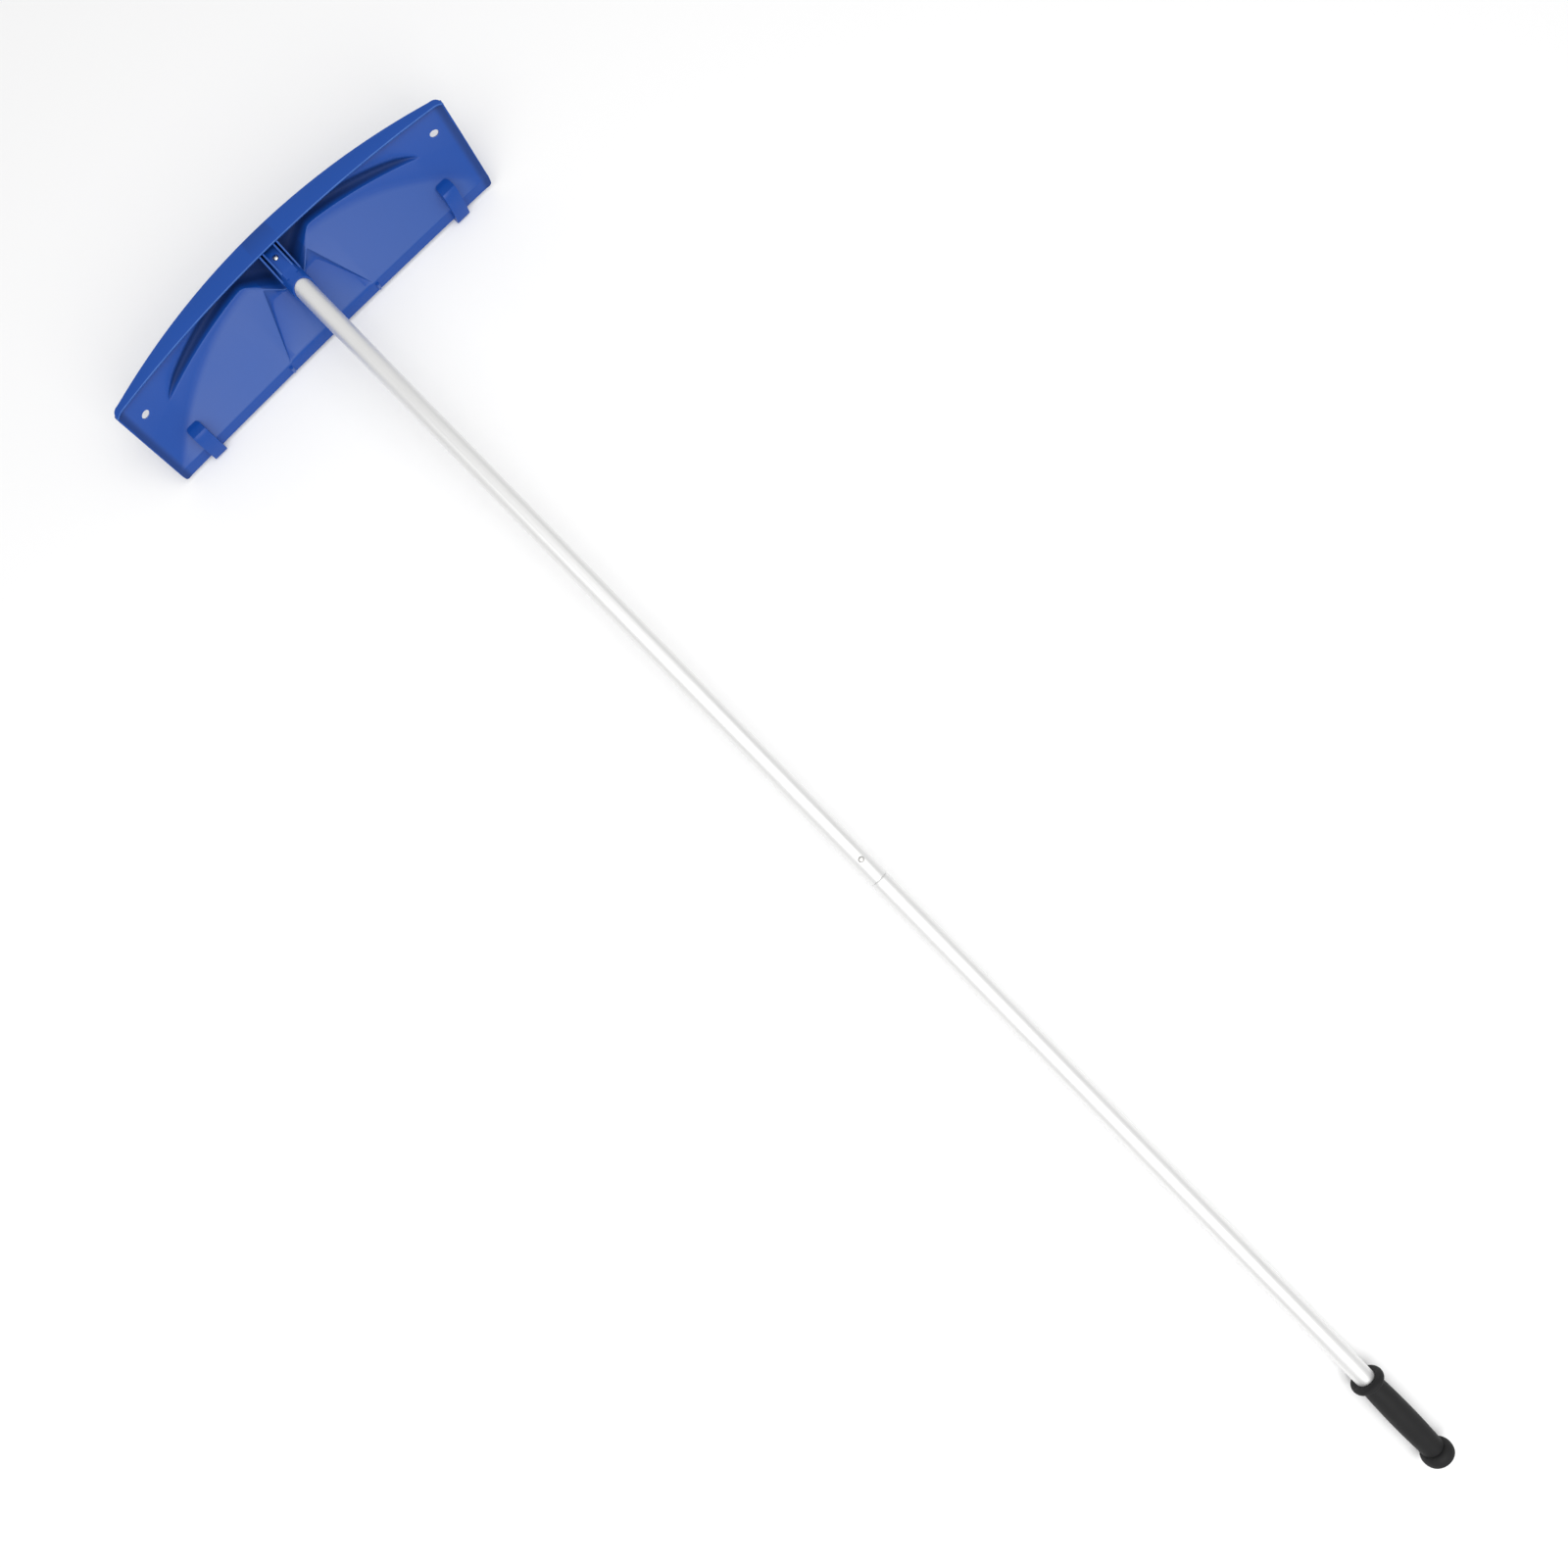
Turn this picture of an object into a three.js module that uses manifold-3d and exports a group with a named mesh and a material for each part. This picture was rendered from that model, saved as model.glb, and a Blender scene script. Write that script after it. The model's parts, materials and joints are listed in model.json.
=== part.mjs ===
// Roof snow rake: a moulded plastic blade on a two-section aluminium pole with a rubber grip.
// Millimetres. The rake lies as it would on a floor: both runners of the blade and the knob of the
// grip touch z = 0, +Y runs from the blade to the grip and X = 0 is its mirror plane. The origin is
// on the floor under the middle of the whole rake.
//
// Everything is drawn in the pole's own frame first: x across the blade, y along the pole's axis
// towards the user (0 near the socket's mouth) and z away from the roof. The group at the end
// tips that frame onto the floor.

import * as THREE from 'three';
import { mergeVertices } from 'three/addons/utils/BufferGeometryUtils.js';
import Module from 'manifold-3d';

const wasm = await Module();
wasm.setup();

// ---------------------------------------------------------------- driving dimensions

// pole
const TUBE_DIAMETER = 28.6;         // 1 1/8 in round tube, both sections
const TUBE_WALL = 1.25;
const HEAD_SECTION = 1200;          // cut length of the section that carries the blade
const HANDLE_SECTION = 1172;        // cut length of the section that carries the grip
const SWAGE_LENGTH = 75;            // reduced end of the handle section
const SWAGE_SHOULDER = 6;           // length of the rounded step behind the reduced end
const SWAGE_CLEARANCE = 0.3;        // radial play of the reduced end in the head section

// socket of the blade
const SOCKET_DEPTH = 69;            // from the top of the mouth to the tube's stop
const SOCKET_CLEARANCE = 0.35;      // radial play of the tube in the socket
const SOCKET_WALL = 2.2;
const MOUTH_Y = 7.6;                // top of the mouth
const MOUTH_LEAN = 27;              // degrees, the mouth leans with the blade

// blade
const BLADE_WIDTH = 608;            // 24 in class
const END_SPLAY = 2;                // each end leans outwards by this much towards the flange
const WALL = 3.2;                   // moulded wall, measured along the draw direction
const EDGE_Y = 46.5;                // bottom edge of the blade at its ends
const EDGE_Z = -78;
const EDGE_BOW = 3.2;               // the middle of the edge stands back by this much
const EDGE_CORNER = 6;
const LIP_HEIGHT = 17;
const LIP_LEAN = 14;                // degrees
const FACE_LEAN = 48;               // lower face, degrees from square to the pole
const WALL_LEAN = 37;               // upper wall
const WALL_HOLLOW = 4;              // the upper wall bends back by this much under the flange
const FLANGE_TOP = 29;
const FLANGE_THICKNESS = 3;
const FLANGE_FRONT = -43.7;         // user side of the top flange, middle
const FLANGE_FRONT_BOW = 22;      // and how far its ends come forward
const FLANGE_BACK = -73.3;          // far side, middle
const FLANGE_BACK_BOW = 43.5;
const FLANGE_CORNER = 14;
const RIM_WIDTH = 12;               // the ends of the blade turn up towards the user
const RIM_HEIGHT = 5;

// pocket under the flange, and the ridge along its lower side
const POCKET_END = 238;
const POCKET_LOW_Z = -8;            // height of the pocket's tip
const POCKET_RISE = 43.2;           // its upper boundary would reach this height above the tip, middle
const POCKET_CURVE = 0.55;           // how fast that boundary drops towards the tip
const POCKET_SLOPE = 0.3;            // how far it goes back on the way down from the boundary
const POCKET_BLEND = 5;
const POCKET_FADE = 0.12;            // share of its length over which the blend ends at the tip
const POCKET_LEAN = 0.45;           // slope of its back wall
const RIDGE_Z = 13.5;
const RIDGE_DROP = 21.4;            // from the middle to the tip
const FOLD_Z = 9.5;                 // where the lower face folds into the upper wall, middle
const FOLD_DROP = 61.3;
const FOLD_END = 279;               // the fold reaches that drop here
const VEE_SLOPE = 0.57;             // the V from the ridge down to the foot of the socket
const CREASE_BLEND = 3;

// recessed panel behind the pole
const RECESS_TOP_X = 42;
const RECESS_TOP_Z = -3;
const RECESS_FOOT_X = 82;
const RECESS_DEPTH = 6;
const RECESS_DEPTH_LOW = 2;
const RECESS_FADE = 10;
const RECESS_SHOULDER_X = 49.2;     // its own edge passes this point
const RECESS_SHOULDER_Z = -20.5;
const RECESS_SLOPE = 1.28;

// runners, ribs, holes
const RUNNER_X = 243;
const RUNNER_WIDTH = 22.5;
const RUNNER_DROP = 7.5;            // soles stand this far below the edge
const RUNNER_SOLE = 12;
const RUNNER_REACH = 0.88;          // share of the lower face that a runner climbs
const NUB_X = 85.5;
const NUB_RADIUS = 2.8;
const NUB_DROP = 2;
const RIB_THICKNESS = 2.4;
const INNER_RIB_X = 9.9;
const INNER_RIB_FRONT = 23;         // from the button
const OUTER_RIB_FRONT = 26.5;
const RIB_ROOT = 10;                // ribs and pad start this far behind the flange's edge
const PAD_HEIGHT = 1.2;             // flat on top of the socket, between the inner ribs
const HANG_HOLE_WIDTH = 13.5;
const HANG_HOLE_HEIGHT = 9;
const HANG_HOLE_X = 275;
const HANG_HOLE_Z = 3;

// spring buttons
const BUTTON_DIAMETER = 7;
const BUTTON_PROUD = 2.6;           // height of the joint's button above the tube it locks
const BUTTON_DOME = 1.6;
const BUTTON_PLAY = 0.4;            // radial, in the tube that carries the clip
const LOCK_PLAY = 1;                // radial, in the part that is locked
const RIVET_DIAMETER = 3.4;
const RIVET_HEAD = 1;               // the rivet's head is wider by this much and this thick
const HEAD_BUTTON_Y = -34;
const JOINT_BUTTON_BACK = 37;       // from the seam of the two sections
const CLIP_WIDTH = 8;
const CLIP_STRIP = 0.8;
const CLIP_LENGTH = 42;
const CLIP_FLAT = 14;               // flat end of each leg
const CLIP_SEAT = 1.6;              // the upper leg lies this far inside the tube
const CLIP_FOOT = 1.2;              // and the lower leg this far

// grip, all measured outwards from the tube it sits on
const GRIP_LENGTH = 150;
const GRIP_CLEARANCE = 0.3;
const GRIP_WALL = 2;
const GRIP_BELLY = 1.7;             // the body swells by this much half way
const GRIP_END_WALL = 5;
const RIM_PROUD = 7.7;
const RIM_THICKNESS = 10;
const KNOB_PROUD = 6.4;
const KNOB_THICKNESS = 17;
const KNOB_ROUND = 4;               // the knob's flat end is this much smaller all round

const GAP = 0.3;                    // between pieces that touch
const ROUND = 32;                   // facets of a tube
const POCKET_STEPS = 7;             // rows of the wall inside the pocket

// ---------------------------------------------------------------- sizes that follow

const RADIANS = Math.PI / 180;
const tubeRadius = TUBE_DIAMETER / 2;
const tubeBore = tubeRadius - TUBE_WALL;
const swageRadius = tubeBore - SWAGE_CLEARANCE;
const swageBore = swageRadius - TUBE_WALL;
const socketBore = tubeRadius + SOCKET_CLEARANCE;
const socketRadius = socketBore + SOCKET_WALL;
const padZ = socketRadius + PAD_HEIGHT;
const lockRadius = BUTTON_DIAMETER / 2 + LOCK_PLAY;
const headTubeStart = MOUTH_Y - SOCKET_DEPTH + GAP;
const seamY = headTubeStart + HEAD_SECTION;
const handleTubeEnd = seamY - SWAGE_LENGTH + HANDLE_SECTION;
const jointButtonY = seamY - JOINT_BUTTON_BACK;
const gripEnd = handleTubeEnd + GAP + GRIP_END_WALL;
const gripStart = gripEnd - GRIP_LENGTH;
const gripRadius = tubeRadius + GRIP_CLEARANCE + GRIP_WALL;
const knobRadius = gripRadius + KNOB_PROUD;
const halfWidth = BLADE_WIDTH / 2;
const widthScale = halfWidth / 304; // outer features keep their share of the width

// ---------------------------------------------------------------- solids

function toSolid(geometry) {
  const bare = geometry.clone();
  bare.deleteAttribute('normal');
  bare.deleteAttribute('uv');
  const merged = mergeVertices(bare, 1e-4);
  return new wasm.Manifold(new wasm.Mesh({
    numProp: 3,
    vertProperties: new Float32Array(merged.attributes.position.array),
    triVerts: new Uint32Array(merged.index.array),
  }));
}

function toGeometry(solid) {
  const mesh = solid.getMesh();
  const geometry = new THREE.BufferGeometry();
  geometry.setAttribute('position', new THREE.BufferAttribute(mesh.vertProperties, 3));
  geometry.setIndex(new THREE.BufferAttribute(mesh.triVerts, 1));
  geometry.computeVertexNormals();
  return geometry;
}

// A turned solid on the pole's axis. Its profile is a list of [radius, y].
function turned(profile, facets = ROUND) {
  const points = profile.map(([radius, y]) => new THREE.Vector2(radius, y));
  return toSolid(new THREE.LatheGeometry(points, facets));
}

// A turned solid that stands on the pole's z axis at a place along the pole.
function turnedUpright(profile, y, facets = 20) {
  const points = profile.map(([radius, z]) => new THREE.Vector2(radius, z));
  const geometry = new THREE.LatheGeometry(points, facets);
  geometry.rotateX(Math.PI / 2);
  geometry.translate(0, y, 0);
  return toSolid(geometry);
}

// An outline of [y, z] points, pushed out along x about a middle plane.
function slab(outline, middleX, width) {
  const shape = new THREE.Shape(outline.map(([y, z]) => new THREE.Vector2(y, z)));
  const geometry = new THREE.ExtrudeGeometry(shape, { depth: width, bevelEnabled: false });
  geometry.translate(0, 0, -width / 2);
  geometry.applyMatrix4(new THREE.Matrix4().set(0, 0, 1, middleX, 1, 0, 0, 0, 0, 1, 0, 0, 0, 0, 0, 1));
  return toSolid(geometry);
}

function pin(radius, lowZ, highZ, y, x = 0) {
  const geometry = new THREE.CylinderGeometry(radius, radius, highZ - lowZ, 20);
  geometry.rotateX(Math.PI / 2);
  geometry.translate(x, y, (lowZ + highZ) / 2);
  return toSolid(geometry);
}

const mix = (a, b, t) => a + (b - a) * t;
const smoothMin = (a, b, blend) => (a + b - Math.sqrt((a - b) ** 2 + blend ** 2)) / 2;

// ---------------------------------------------------------------- blade

// Plan curves of the blade, as y at a distance x from its middle.
const edgeY = (x) => EDGE_Y - EDGE_BOW * (1 - (x / halfWidth) ** 2);
const flangeFront = (x) => FLANGE_FRONT + FLANGE_FRONT_BOW * (x / halfWidth) ** 2;
const flangeBack = (x) => FLANGE_BACK + FLANGE_BACK_BOW * (x / halfWidth) ** 2;

const flangeUnder = FLANGE_TOP - FLANGE_THICKNESS;
const lipZ = EDGE_Z + LIP_HEIGHT * Math.cos(LIP_LEAN * RADIANS);
const faceSlope = Math.tan(FACE_LEAN * RADIANS);
const wallSlope = Math.tan(WALL_LEAN * RADIANS);

const lipY = (x) => edgeY(x) - LIP_HEIGHT * Math.sin(LIP_LEAN * RADIANS);
const faceY = (x, z) => lipY(x) - faceSlope * (z - lipZ);

// Where the lower face folds into the upper wall.
const foldZ = (x) => Math.max(FOLD_Z - FOLD_DROP * (x / (FOLD_END * widthScale)) ** 2.3, lipZ + 3);

// The crease above the face: a ridge out to the pocket's end, and a V down to the socket's foot.
const footX = socketRadius + 2;
const footZ = -socketRadius + 4;
const ridgeZ = (x) => RIDGE_Z - RIDGE_DROP * (x / (POCKET_END * widthScale)) ** 1.7;
const veeZ = (x) => footZ + VEE_SLOPE * Math.max(x - footX, 0);
const creaseZ = (x) => smoothMin(veeZ(x), ridgeZ(x), CREASE_BLEND);

// The recessed panel behind the pole: the edge of the face around it and its own edge.
const edgeFall = (RECESS_TOP_Z - lipZ) / (RECESS_FOOT_X - RECESS_TOP_X);
const faceEdgeZ = (x) => RECESS_TOP_Z - (x - RECESS_TOP_X) * edgeFall;
const panelEdgeZ = (x) => smoothMin(footZ - 1, RECESS_SHOULDER_Z - RECESS_SLOPE * (x - RECESS_SHOULDER_X), 5);

// The upper wall, without the pocket and with it.
function plainWallY(x, z) {
  const fold = foldZ(x);
  const rise = THREE.MathUtils.clamp((z - fold) / (flangeUnder - fold), 0, 1);
  return faceY(x, fold) - wallSlope * (z - fold) - WALL_HOLLOW * rise ** 2;
}

function wallY(x, z) {
  const plain = plainWallY(x, z);
  const share = Math.max(1 - x / (POCKET_END * widthScale), 0);
  const top = POCKET_LOW_Z + POCKET_RISE * share ** POCKET_CURVE;
  const hollow = Math.max(
    plainWallY(x, top) - POCKET_SLOPE * (top - z),
    flangeBack(x) + WALL + POCKET_LEAN * (flangeUnder - z),
  );
  const blend = POCKET_BLEND * Math.min(share / POCKET_FADE, 1);
  return share > 0 ? smoothMin(plain, hollow, blend) : plain;
}

// How far the ends of the blade turn up towards the user.
const rimTurn = (x) => RIM_HEIGHT * (Math.max(x - halfWidth + RIM_WIDTH, 0) / RIM_WIDTH) ** 2;

// The user's side of the blade at x, as [y, z] points from the bottom edge up to the flange.
// Every step goes up or away from the user, so the wall behind it is the same surface shifted.
function section(x) {
  const across = Math.abs(x);
  const crease = creaseZ(across);
  const faceEdge = Math.min(faceEdgeZ(across), foldZ(across) - 1, crease - 2);
  const low = Math.max(Math.min(panelEdgeZ(across), faceEdge - 1), lipZ + 1);
  const high = Math.max(faceEdge, low + 1);
  const fold = Math.max(Math.min(foldZ(across), crease - 1), high + 1);
  const fade = THREE.MathUtils.clamp((RECESS_FOOT_X - across) / RECESS_FADE, 0, 1);
  const depth = fade * mix(RECESS_DEPTH_LOW, RECESS_DEPTH, (low - lipZ) / (footZ - lipZ));
  const depthY = depth * Math.cos(FACE_LEAN * RADIANS);
  const depthZ = depth * Math.sin(FACE_LEAN * RADIANS);

  const creaseY = plainWallY(across, crease);
  const shelf = Math.max(creaseY - wallY(across, crease), 0);
  const backZ = crease + 1 - 0.2 * shelf;
  const fromEnd = Math.max(across - (halfWidth - EDGE_CORNER), 0);
  const corner = EDGE_CORNER - Math.sqrt(EDGE_CORNER ** 2 - fromEnd ** 2);
  const points = [
    [mix(edgeY(across), lipY(across), corner / LIP_HEIGHT), EDGE_Z + corner],
    [lipY(across), lipZ],
    [faceY(across, low) - depthY, low - depthZ],
    [faceY(across, high), high],
    [faceY(across, fold), fold],
    [creaseY, crease],
  ];
  for (let i = 0; i <= POCKET_STEPS; i++) {
    const z = mix(backZ, flangeUnder + 1, i / POCKET_STEPS);
    points.push([wallY(across, z), z]);
  }
  const turn = rimTurn(across);
  return points.map(([y, z]) => [y + turn * mix(0.4, 1, (z - EDGE_Z) / (FLANGE_TOP - EDGE_Z)), z]);
}

// The ends lean outwards towards the flange.
function splayedX(x, z) {
  return x * (1 + END_SPLAY / halfWidth * (z - EDGE_Z) / (FLANGE_TOP - EDGE_Z));
}

// Stations across the blade: close together where the recess, the V and the rims are.
function stations() {
  const right = [0, 10, footX];
  for (let x = 26; x < RECESS_FOOT_X; x += 5.5) right.push(x);
  const squareEnd = halfWidth - RIM_WIDTH;
  const steps = 19;
  for (let i = 0; i <= steps; i++) right.push(mix(RECESS_FOOT_X + 1, squareEnd, i / steps));
  for (const share of [0.4, 0.7, 0.88, 1]) right.push(squareEnd + RIM_WIDTH * share);
  return [...right.slice(1).reverse().map((x) => -x), ...right];
}

// The moulded wall: a grid of sections in front and the same grid shifted away behind it.
function shell() {
  const shift = WALL * Math.SQRT1_2;
  const places = stations();
  const rows = section(0).length;
  const positions = [];
  for (const behind of [0, shift]) {
    for (const x of places) {
      for (const [y, z] of section(x)) positions.push(splayedX(x, z), y - behind, z - behind);
    }
  }
  const vertex = (side, i, j) => (side * places.length + i) * rows + j;
  const index = [];
  const quad = (a, b, c, d) => index.push(a, b, c, a, c, d);
  for (let i = 0; i + 1 < places.length; i++) {
    for (let j = 0; j + 1 < rows; j++) {
      const [a, b, c, d] = [[i, j], [i, j + 1], [i + 1, j + 1], [i + 1, j]];
      const corners = places[i] < 0 ? [a, b, c, d] : [b, c, d, a];
      quad(...corners.map(([k, l]) => vertex(0, k, l)));
      const [e, f, g, h] = corners.map(([k, l]) => vertex(1, k, l));
      quad(e, h, g, f);
    }
    quad(vertex(0, i, 0), vertex(0, i + 1, 0), vertex(1, i + 1, 0), vertex(1, i, 0));
    const top = rows - 1;
    quad(vertex(0, i, top), vertex(1, i, top), vertex(1, i + 1, top), vertex(0, i + 1, top));
  }
  const last = places.length - 1;
  for (let j = 0; j + 1 < rows; j++) {
    quad(vertex(0, 0, j), vertex(1, 0, j), vertex(1, 0, j + 1), vertex(0, 0, j + 1));
    quad(vertex(0, last, j), vertex(0, last, j + 1), vertex(1, last, j + 1), vertex(1, last, j));
  }
  const geometry = new THREE.BufferGeometry();
  geometry.setAttribute('position', new THREE.Float32BufferAttribute(positions, 3));
  geometry.setIndex(index);
  return toSolid(geometry);
}

function flange() {
  const shape = new THREE.Shape();
  const steps = 32;
  const end = halfWidth + END_SPLAY;
  const squareEnd = end - FLANGE_CORNER;
  const frontY = (x) => flangeFront(x) + rimTurn(Math.abs(x));
  shape.moveTo(-end, frontY(end));
  for (let i = 1; i < steps; i++) {
    const x = end * Math.sin(Math.PI * (i / steps - 0.5));
    shape.lineTo(x, frontY(x));
  }
  shape.lineTo(end, frontY(end));
  shape.quadraticCurveTo(end, flangeBack(squareEnd) + 1, squareEnd, flangeBack(squareEnd));
  for (let i = 1; i <= steps; i++) {
    const x = mix(squareEnd, -squareEnd, i / steps);
    shape.lineTo(x, flangeBack(x));
  }
  shape.quadraticCurveTo(-end, flangeBack(squareEnd) + 1, -end, frontY(end));
  const settings = { depth: FLANGE_THICKNESS, bevelEnabled: false, curveSegments: 5 };
  const geometry = new THREE.ExtrudeGeometry(shape, settings);
  geometry.translate(0, 0, flangeUnder);
  return toSolid(geometry);
}

const ribRoot = flangeFront(0) - RIB_ROOT;

// The socket's outside: a tube with a closed far end and a pad for the button.
function socketBody() {
  const backY = MOUTH_Y - SOCKET_DEPTH - SOCKET_WALL;
  const frontY = MOUTH_Y + 2 * socketRadius * Math.tan(MOUTH_LEAN * RADIANS);
  const tube = turned([
    [0, backY],
    [socketRadius - 2, backY],
    [socketRadius, backY + 2],
    [socketRadius, frontY],
    [0, frontY],
  ]);
  const padFront = HEAD_BUTTON_Y + INNER_RIB_FRONT;
  const pad = slab([
    [ribRoot, 0],
    [padFront, 0],
    [padFront, socketRadius - 1],
    [HEAD_BUTTON_Y + lockRadius + 2, padZ],
    [ribRoot, padZ],
  ], 0, 2 * INNER_RIB_X);
  return tube.add(pad);
}

// Ribs that tie the socket to the flange: two beside the pad, two along the socket's flanks.
function ribs() {
  const innerFront = HEAD_BUTTON_Y + INNER_RIB_FRONT;
  const outerFront = HEAD_BUTTON_Y + OUTER_RIB_FRONT;
  const top = flangeUnder + 0.5;
  const outline = (frontY, frontZ) => [
    [ribRoot, 0],
    [frontY, 0],
    [frontY, frontZ],
    [flangeFront(0), top],
    [ribRoot, top],
  ];
  let all = null;
  for (const side of [-1, 1]) {
    const inner = slab(outline(innerFront, padZ + 0.6), side * INNER_RIB_X, RIB_THICKNESS);
    const outer = slab(outline(outerFront, socketRadius / 2), side * (socketRadius - 1), RIB_THICKNESS);
    all = all ? all.add(inner).add(outer) : inner.add(outer);
  }
  return all;
}

// The lean of the rake on the floor, from the runners' soles and the knob of the grip.
const soleZ = EDGE_Z - RUNNER_DROP;
const soleY = edgeY(RUNNER_X * widthScale) - 2;
const restLean = Math.atan2(-knobRadius - soleZ, gripEnd - KNOB_THICKNESS / 2 - soleY);

function runner(side) {
  const across = RUNNER_X * widthScale;
  const along = Math.tan(restLean) * RUNNER_SOLE / 2;
  const topZ = mix(lipZ, foldZ(across), RUNNER_REACH);
  const topY = faceY(across, topZ);
  const soleFront = soleY + RUNNER_SOLE / 2;
  const soleBack = soleY - RUNNER_SOLE / 2;
  const outline = [
    [topY - 1.5, topZ - 1],
    [topY + 9, topZ + 2.2],
    [topY + 20, topZ + 4],
    [topY + 24, topZ + 1],
    [lipY(across) + 8.5, lipZ],
    [soleFront + 3, soleZ + 4],
    [soleFront, soleZ + along],
    [soleBack, soleZ - along],
    [soleBack - 3, soleZ + 3],
    [soleBack - 3, EDGE_Z + 2],
    [lipY(across) - 1.5, lipZ - 1],
  ];
  return slab(outline, side * across, RUNNER_WIDTH);
}

function nub(side) {
  return pin(NUB_RADIUS, EDGE_Z - NUB_DROP, mix(EDGE_Z, lipZ, 0.7), edgeY(NUB_X) - 2, side * NUB_X);
}

// The space of the tube in the socket, open towards the user, and the slanted cut of its mouth.
function socketHollow() {
  const far = EDGE_Y * 2;
  const stop = MOUTH_Y - SOCKET_DEPTH;
  const bore = turned([[0, stop], [socketBore, stop], [socketBore, far], [0, far]]);
  const reach = socketRadius + 1;
  const mouthY = (z) => MOUTH_Y + Math.tan(MOUTH_LEAN * RADIANS) * (tubeRadius - z);
  const outline = [[mouthY(reach), reach], [mouthY(-reach), -reach], [far, -reach], [far, reach]];
  return bore.add(slab(outline, 0, 2 * reach));
}

function hangHole(side) {
  const across = HANG_HOLE_X * widthScale;
  const hole = new THREE.CylinderGeometry(HANG_HOLE_WIDTH / 2, HANG_HOLE_WIDTH / 2, 40, 20);
  hole.scale(1, 1, HANG_HOLE_HEIGHT / HANG_HOLE_WIDTH);
  hole.rotateX(WALL_LEAN * RADIANS);
  hole.translate(side * across, wallY(across, HANG_HOLE_Z), HANG_HOLE_Z);
  return toSolid(hole);
}

function blade() {
  let solid = shell().add(flange()).add(socketBody()).add(ribs());
  for (const side of [-1, 1]) solid = solid.add(runner(side)).add(nub(side));
  solid = solid.subtract(socketHollow()).subtract(pin(lockRadius, 0, padZ + 4, HEAD_BUTTON_Y));
  for (const side of [-1, 1]) solid = solid.subtract(hangHole(side));
  return solid;
}

// ---------------------------------------------------------------- pole

function headTube() {
  const tube = turned([
    [tubeBore, headTubeStart],
    [tubeRadius, headTubeStart],
    [tubeRadius, seamY],
    [tubeBore, seamY],
    [tubeBore, headTubeStart],
  ]);
  return tube
    .subtract(pin(BUTTON_DIAMETER / 2 + BUTTON_PLAY, 0, TUBE_DIAMETER, HEAD_BUTTON_Y))
    .subtract(pin(lockRadius, 0, TUBE_DIAMETER, jointButtonY));
}

// The reduced end slides into the head section; a rounded step carries it to the full size.
function handleTube() {
  const swageEnd = seamY - SWAGE_LENGTH;
  const shoulder = seamY + GAP;
  const full = shoulder + SWAGE_SHOULDER;
  const profile = [[swageBore, swageEnd], [swageRadius, swageEnd], [swageRadius, shoulder]];
  for (let i = 1; i <= 4; i++) {
    const angle = i * Math.PI / 8;
    const radius = mix(swageRadius, tubeRadius, Math.sin(angle));
    profile.push([radius, mix(full, shoulder, Math.cos(angle))]);
  }
  profile.push([tubeRadius, handleTubeEnd], [tubeBore, handleTubeEnd], [tubeBore, full]);
  profile.push([swageBore, shoulder - 1], [swageBore, swageEnd]);
  return turned(profile).subtract(pin(BUTTON_DIAMETER / 2 + BUTTON_PLAY, 0, TUBE_DIAMETER, jointButtonY));
}

// A rubber grip with a rim in front and a knob that closes the end of the pole.
function grip() {
  const bore = tubeRadius + GRIP_CLEARANCE;
  const bodyStart = gripStart + RIM_THICKNESS;
  const bodyEnd = gripEnd - KNOB_THICKNESS;
  const profile = [[bore, gripStart]];
  for (let i = 0; i <= 6; i++) {
    const angle = Math.PI * i / 6;
    const radius = gripRadius + RIM_PROUD * Math.sin(angle) ** 0.6;
    profile.push([radius, gripStart + RIM_THICKNESS * (1 - Math.cos(angle)) / 2]);
  }
  for (let i = 1; i < 5; i++) {
    profile.push([gripRadius + GRIP_BELLY * Math.sin(Math.PI * i / 5), mix(bodyStart, bodyEnd, i / 5)]);
  }
  for (let i = 0; i <= 4; i++) {
    const angle = Math.PI * i / 8;
    const along = KNOB_THICKNESS * (1 - Math.cos(angle)) / 2;
    profile.push([gripRadius + KNOB_PROUD * Math.sin(angle), bodyEnd + along]);
  }
  for (let i = 1; i <= 4; i++) {
    const angle = Math.PI * i / 8;
    const along = KNOB_THICKNESS * (1 - Math.sin(angle)) / 2;
    profile.push([knobRadius - KNOB_ROUND * (1 - Math.cos(angle)), gripEnd - along]);
  }
  profile.push([0, gripEnd], [0, handleTubeEnd + GAP], [bore, handleTubeEnd + GAP], [bore, gripStart]);
  return turned(profile);
}

// ---------------------------------------------------------------- spring buttons

// A leaf spring folded into a V inside a tube; its upper leg carries the button.
function springClip(bore, buttonY) {
  const top = bore - CLIP_SEAT;
  const low = -bore + CLIP_FOOT;
  const legEnd = buttonY - CLIP_FLAT / 2;
  const topBend = buttonY + CLIP_FLAT / 2;
  const lowBend = legEnd + CLIP_FLAT;
  const fold = legEnd + CLIP_LENGTH;
  const nose = 1.5;                 // half height of the folded end
  const inner = nose - CLIP_STRIP * 0.75;
  const strip = slab([
    [legEnd, low],
    [lowBend, low],
    [fold, -nose],
    [fold, nose],
    [topBend, top],
    [legEnd, top],
    [legEnd, top - CLIP_STRIP],
    [topBend, top - CLIP_STRIP],
    [fold - 1.2, inner],
    [fold - 1.2, -inner],
    [lowBend, low + CLIP_STRIP],
    [legEnd, low + CLIP_STRIP],
  ], 0, CLIP_WIDTH);
  return strip.subtract(pin(RIVET_DIAMETER / 2 + GAP, 0, bore, buttonY));
}

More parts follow.
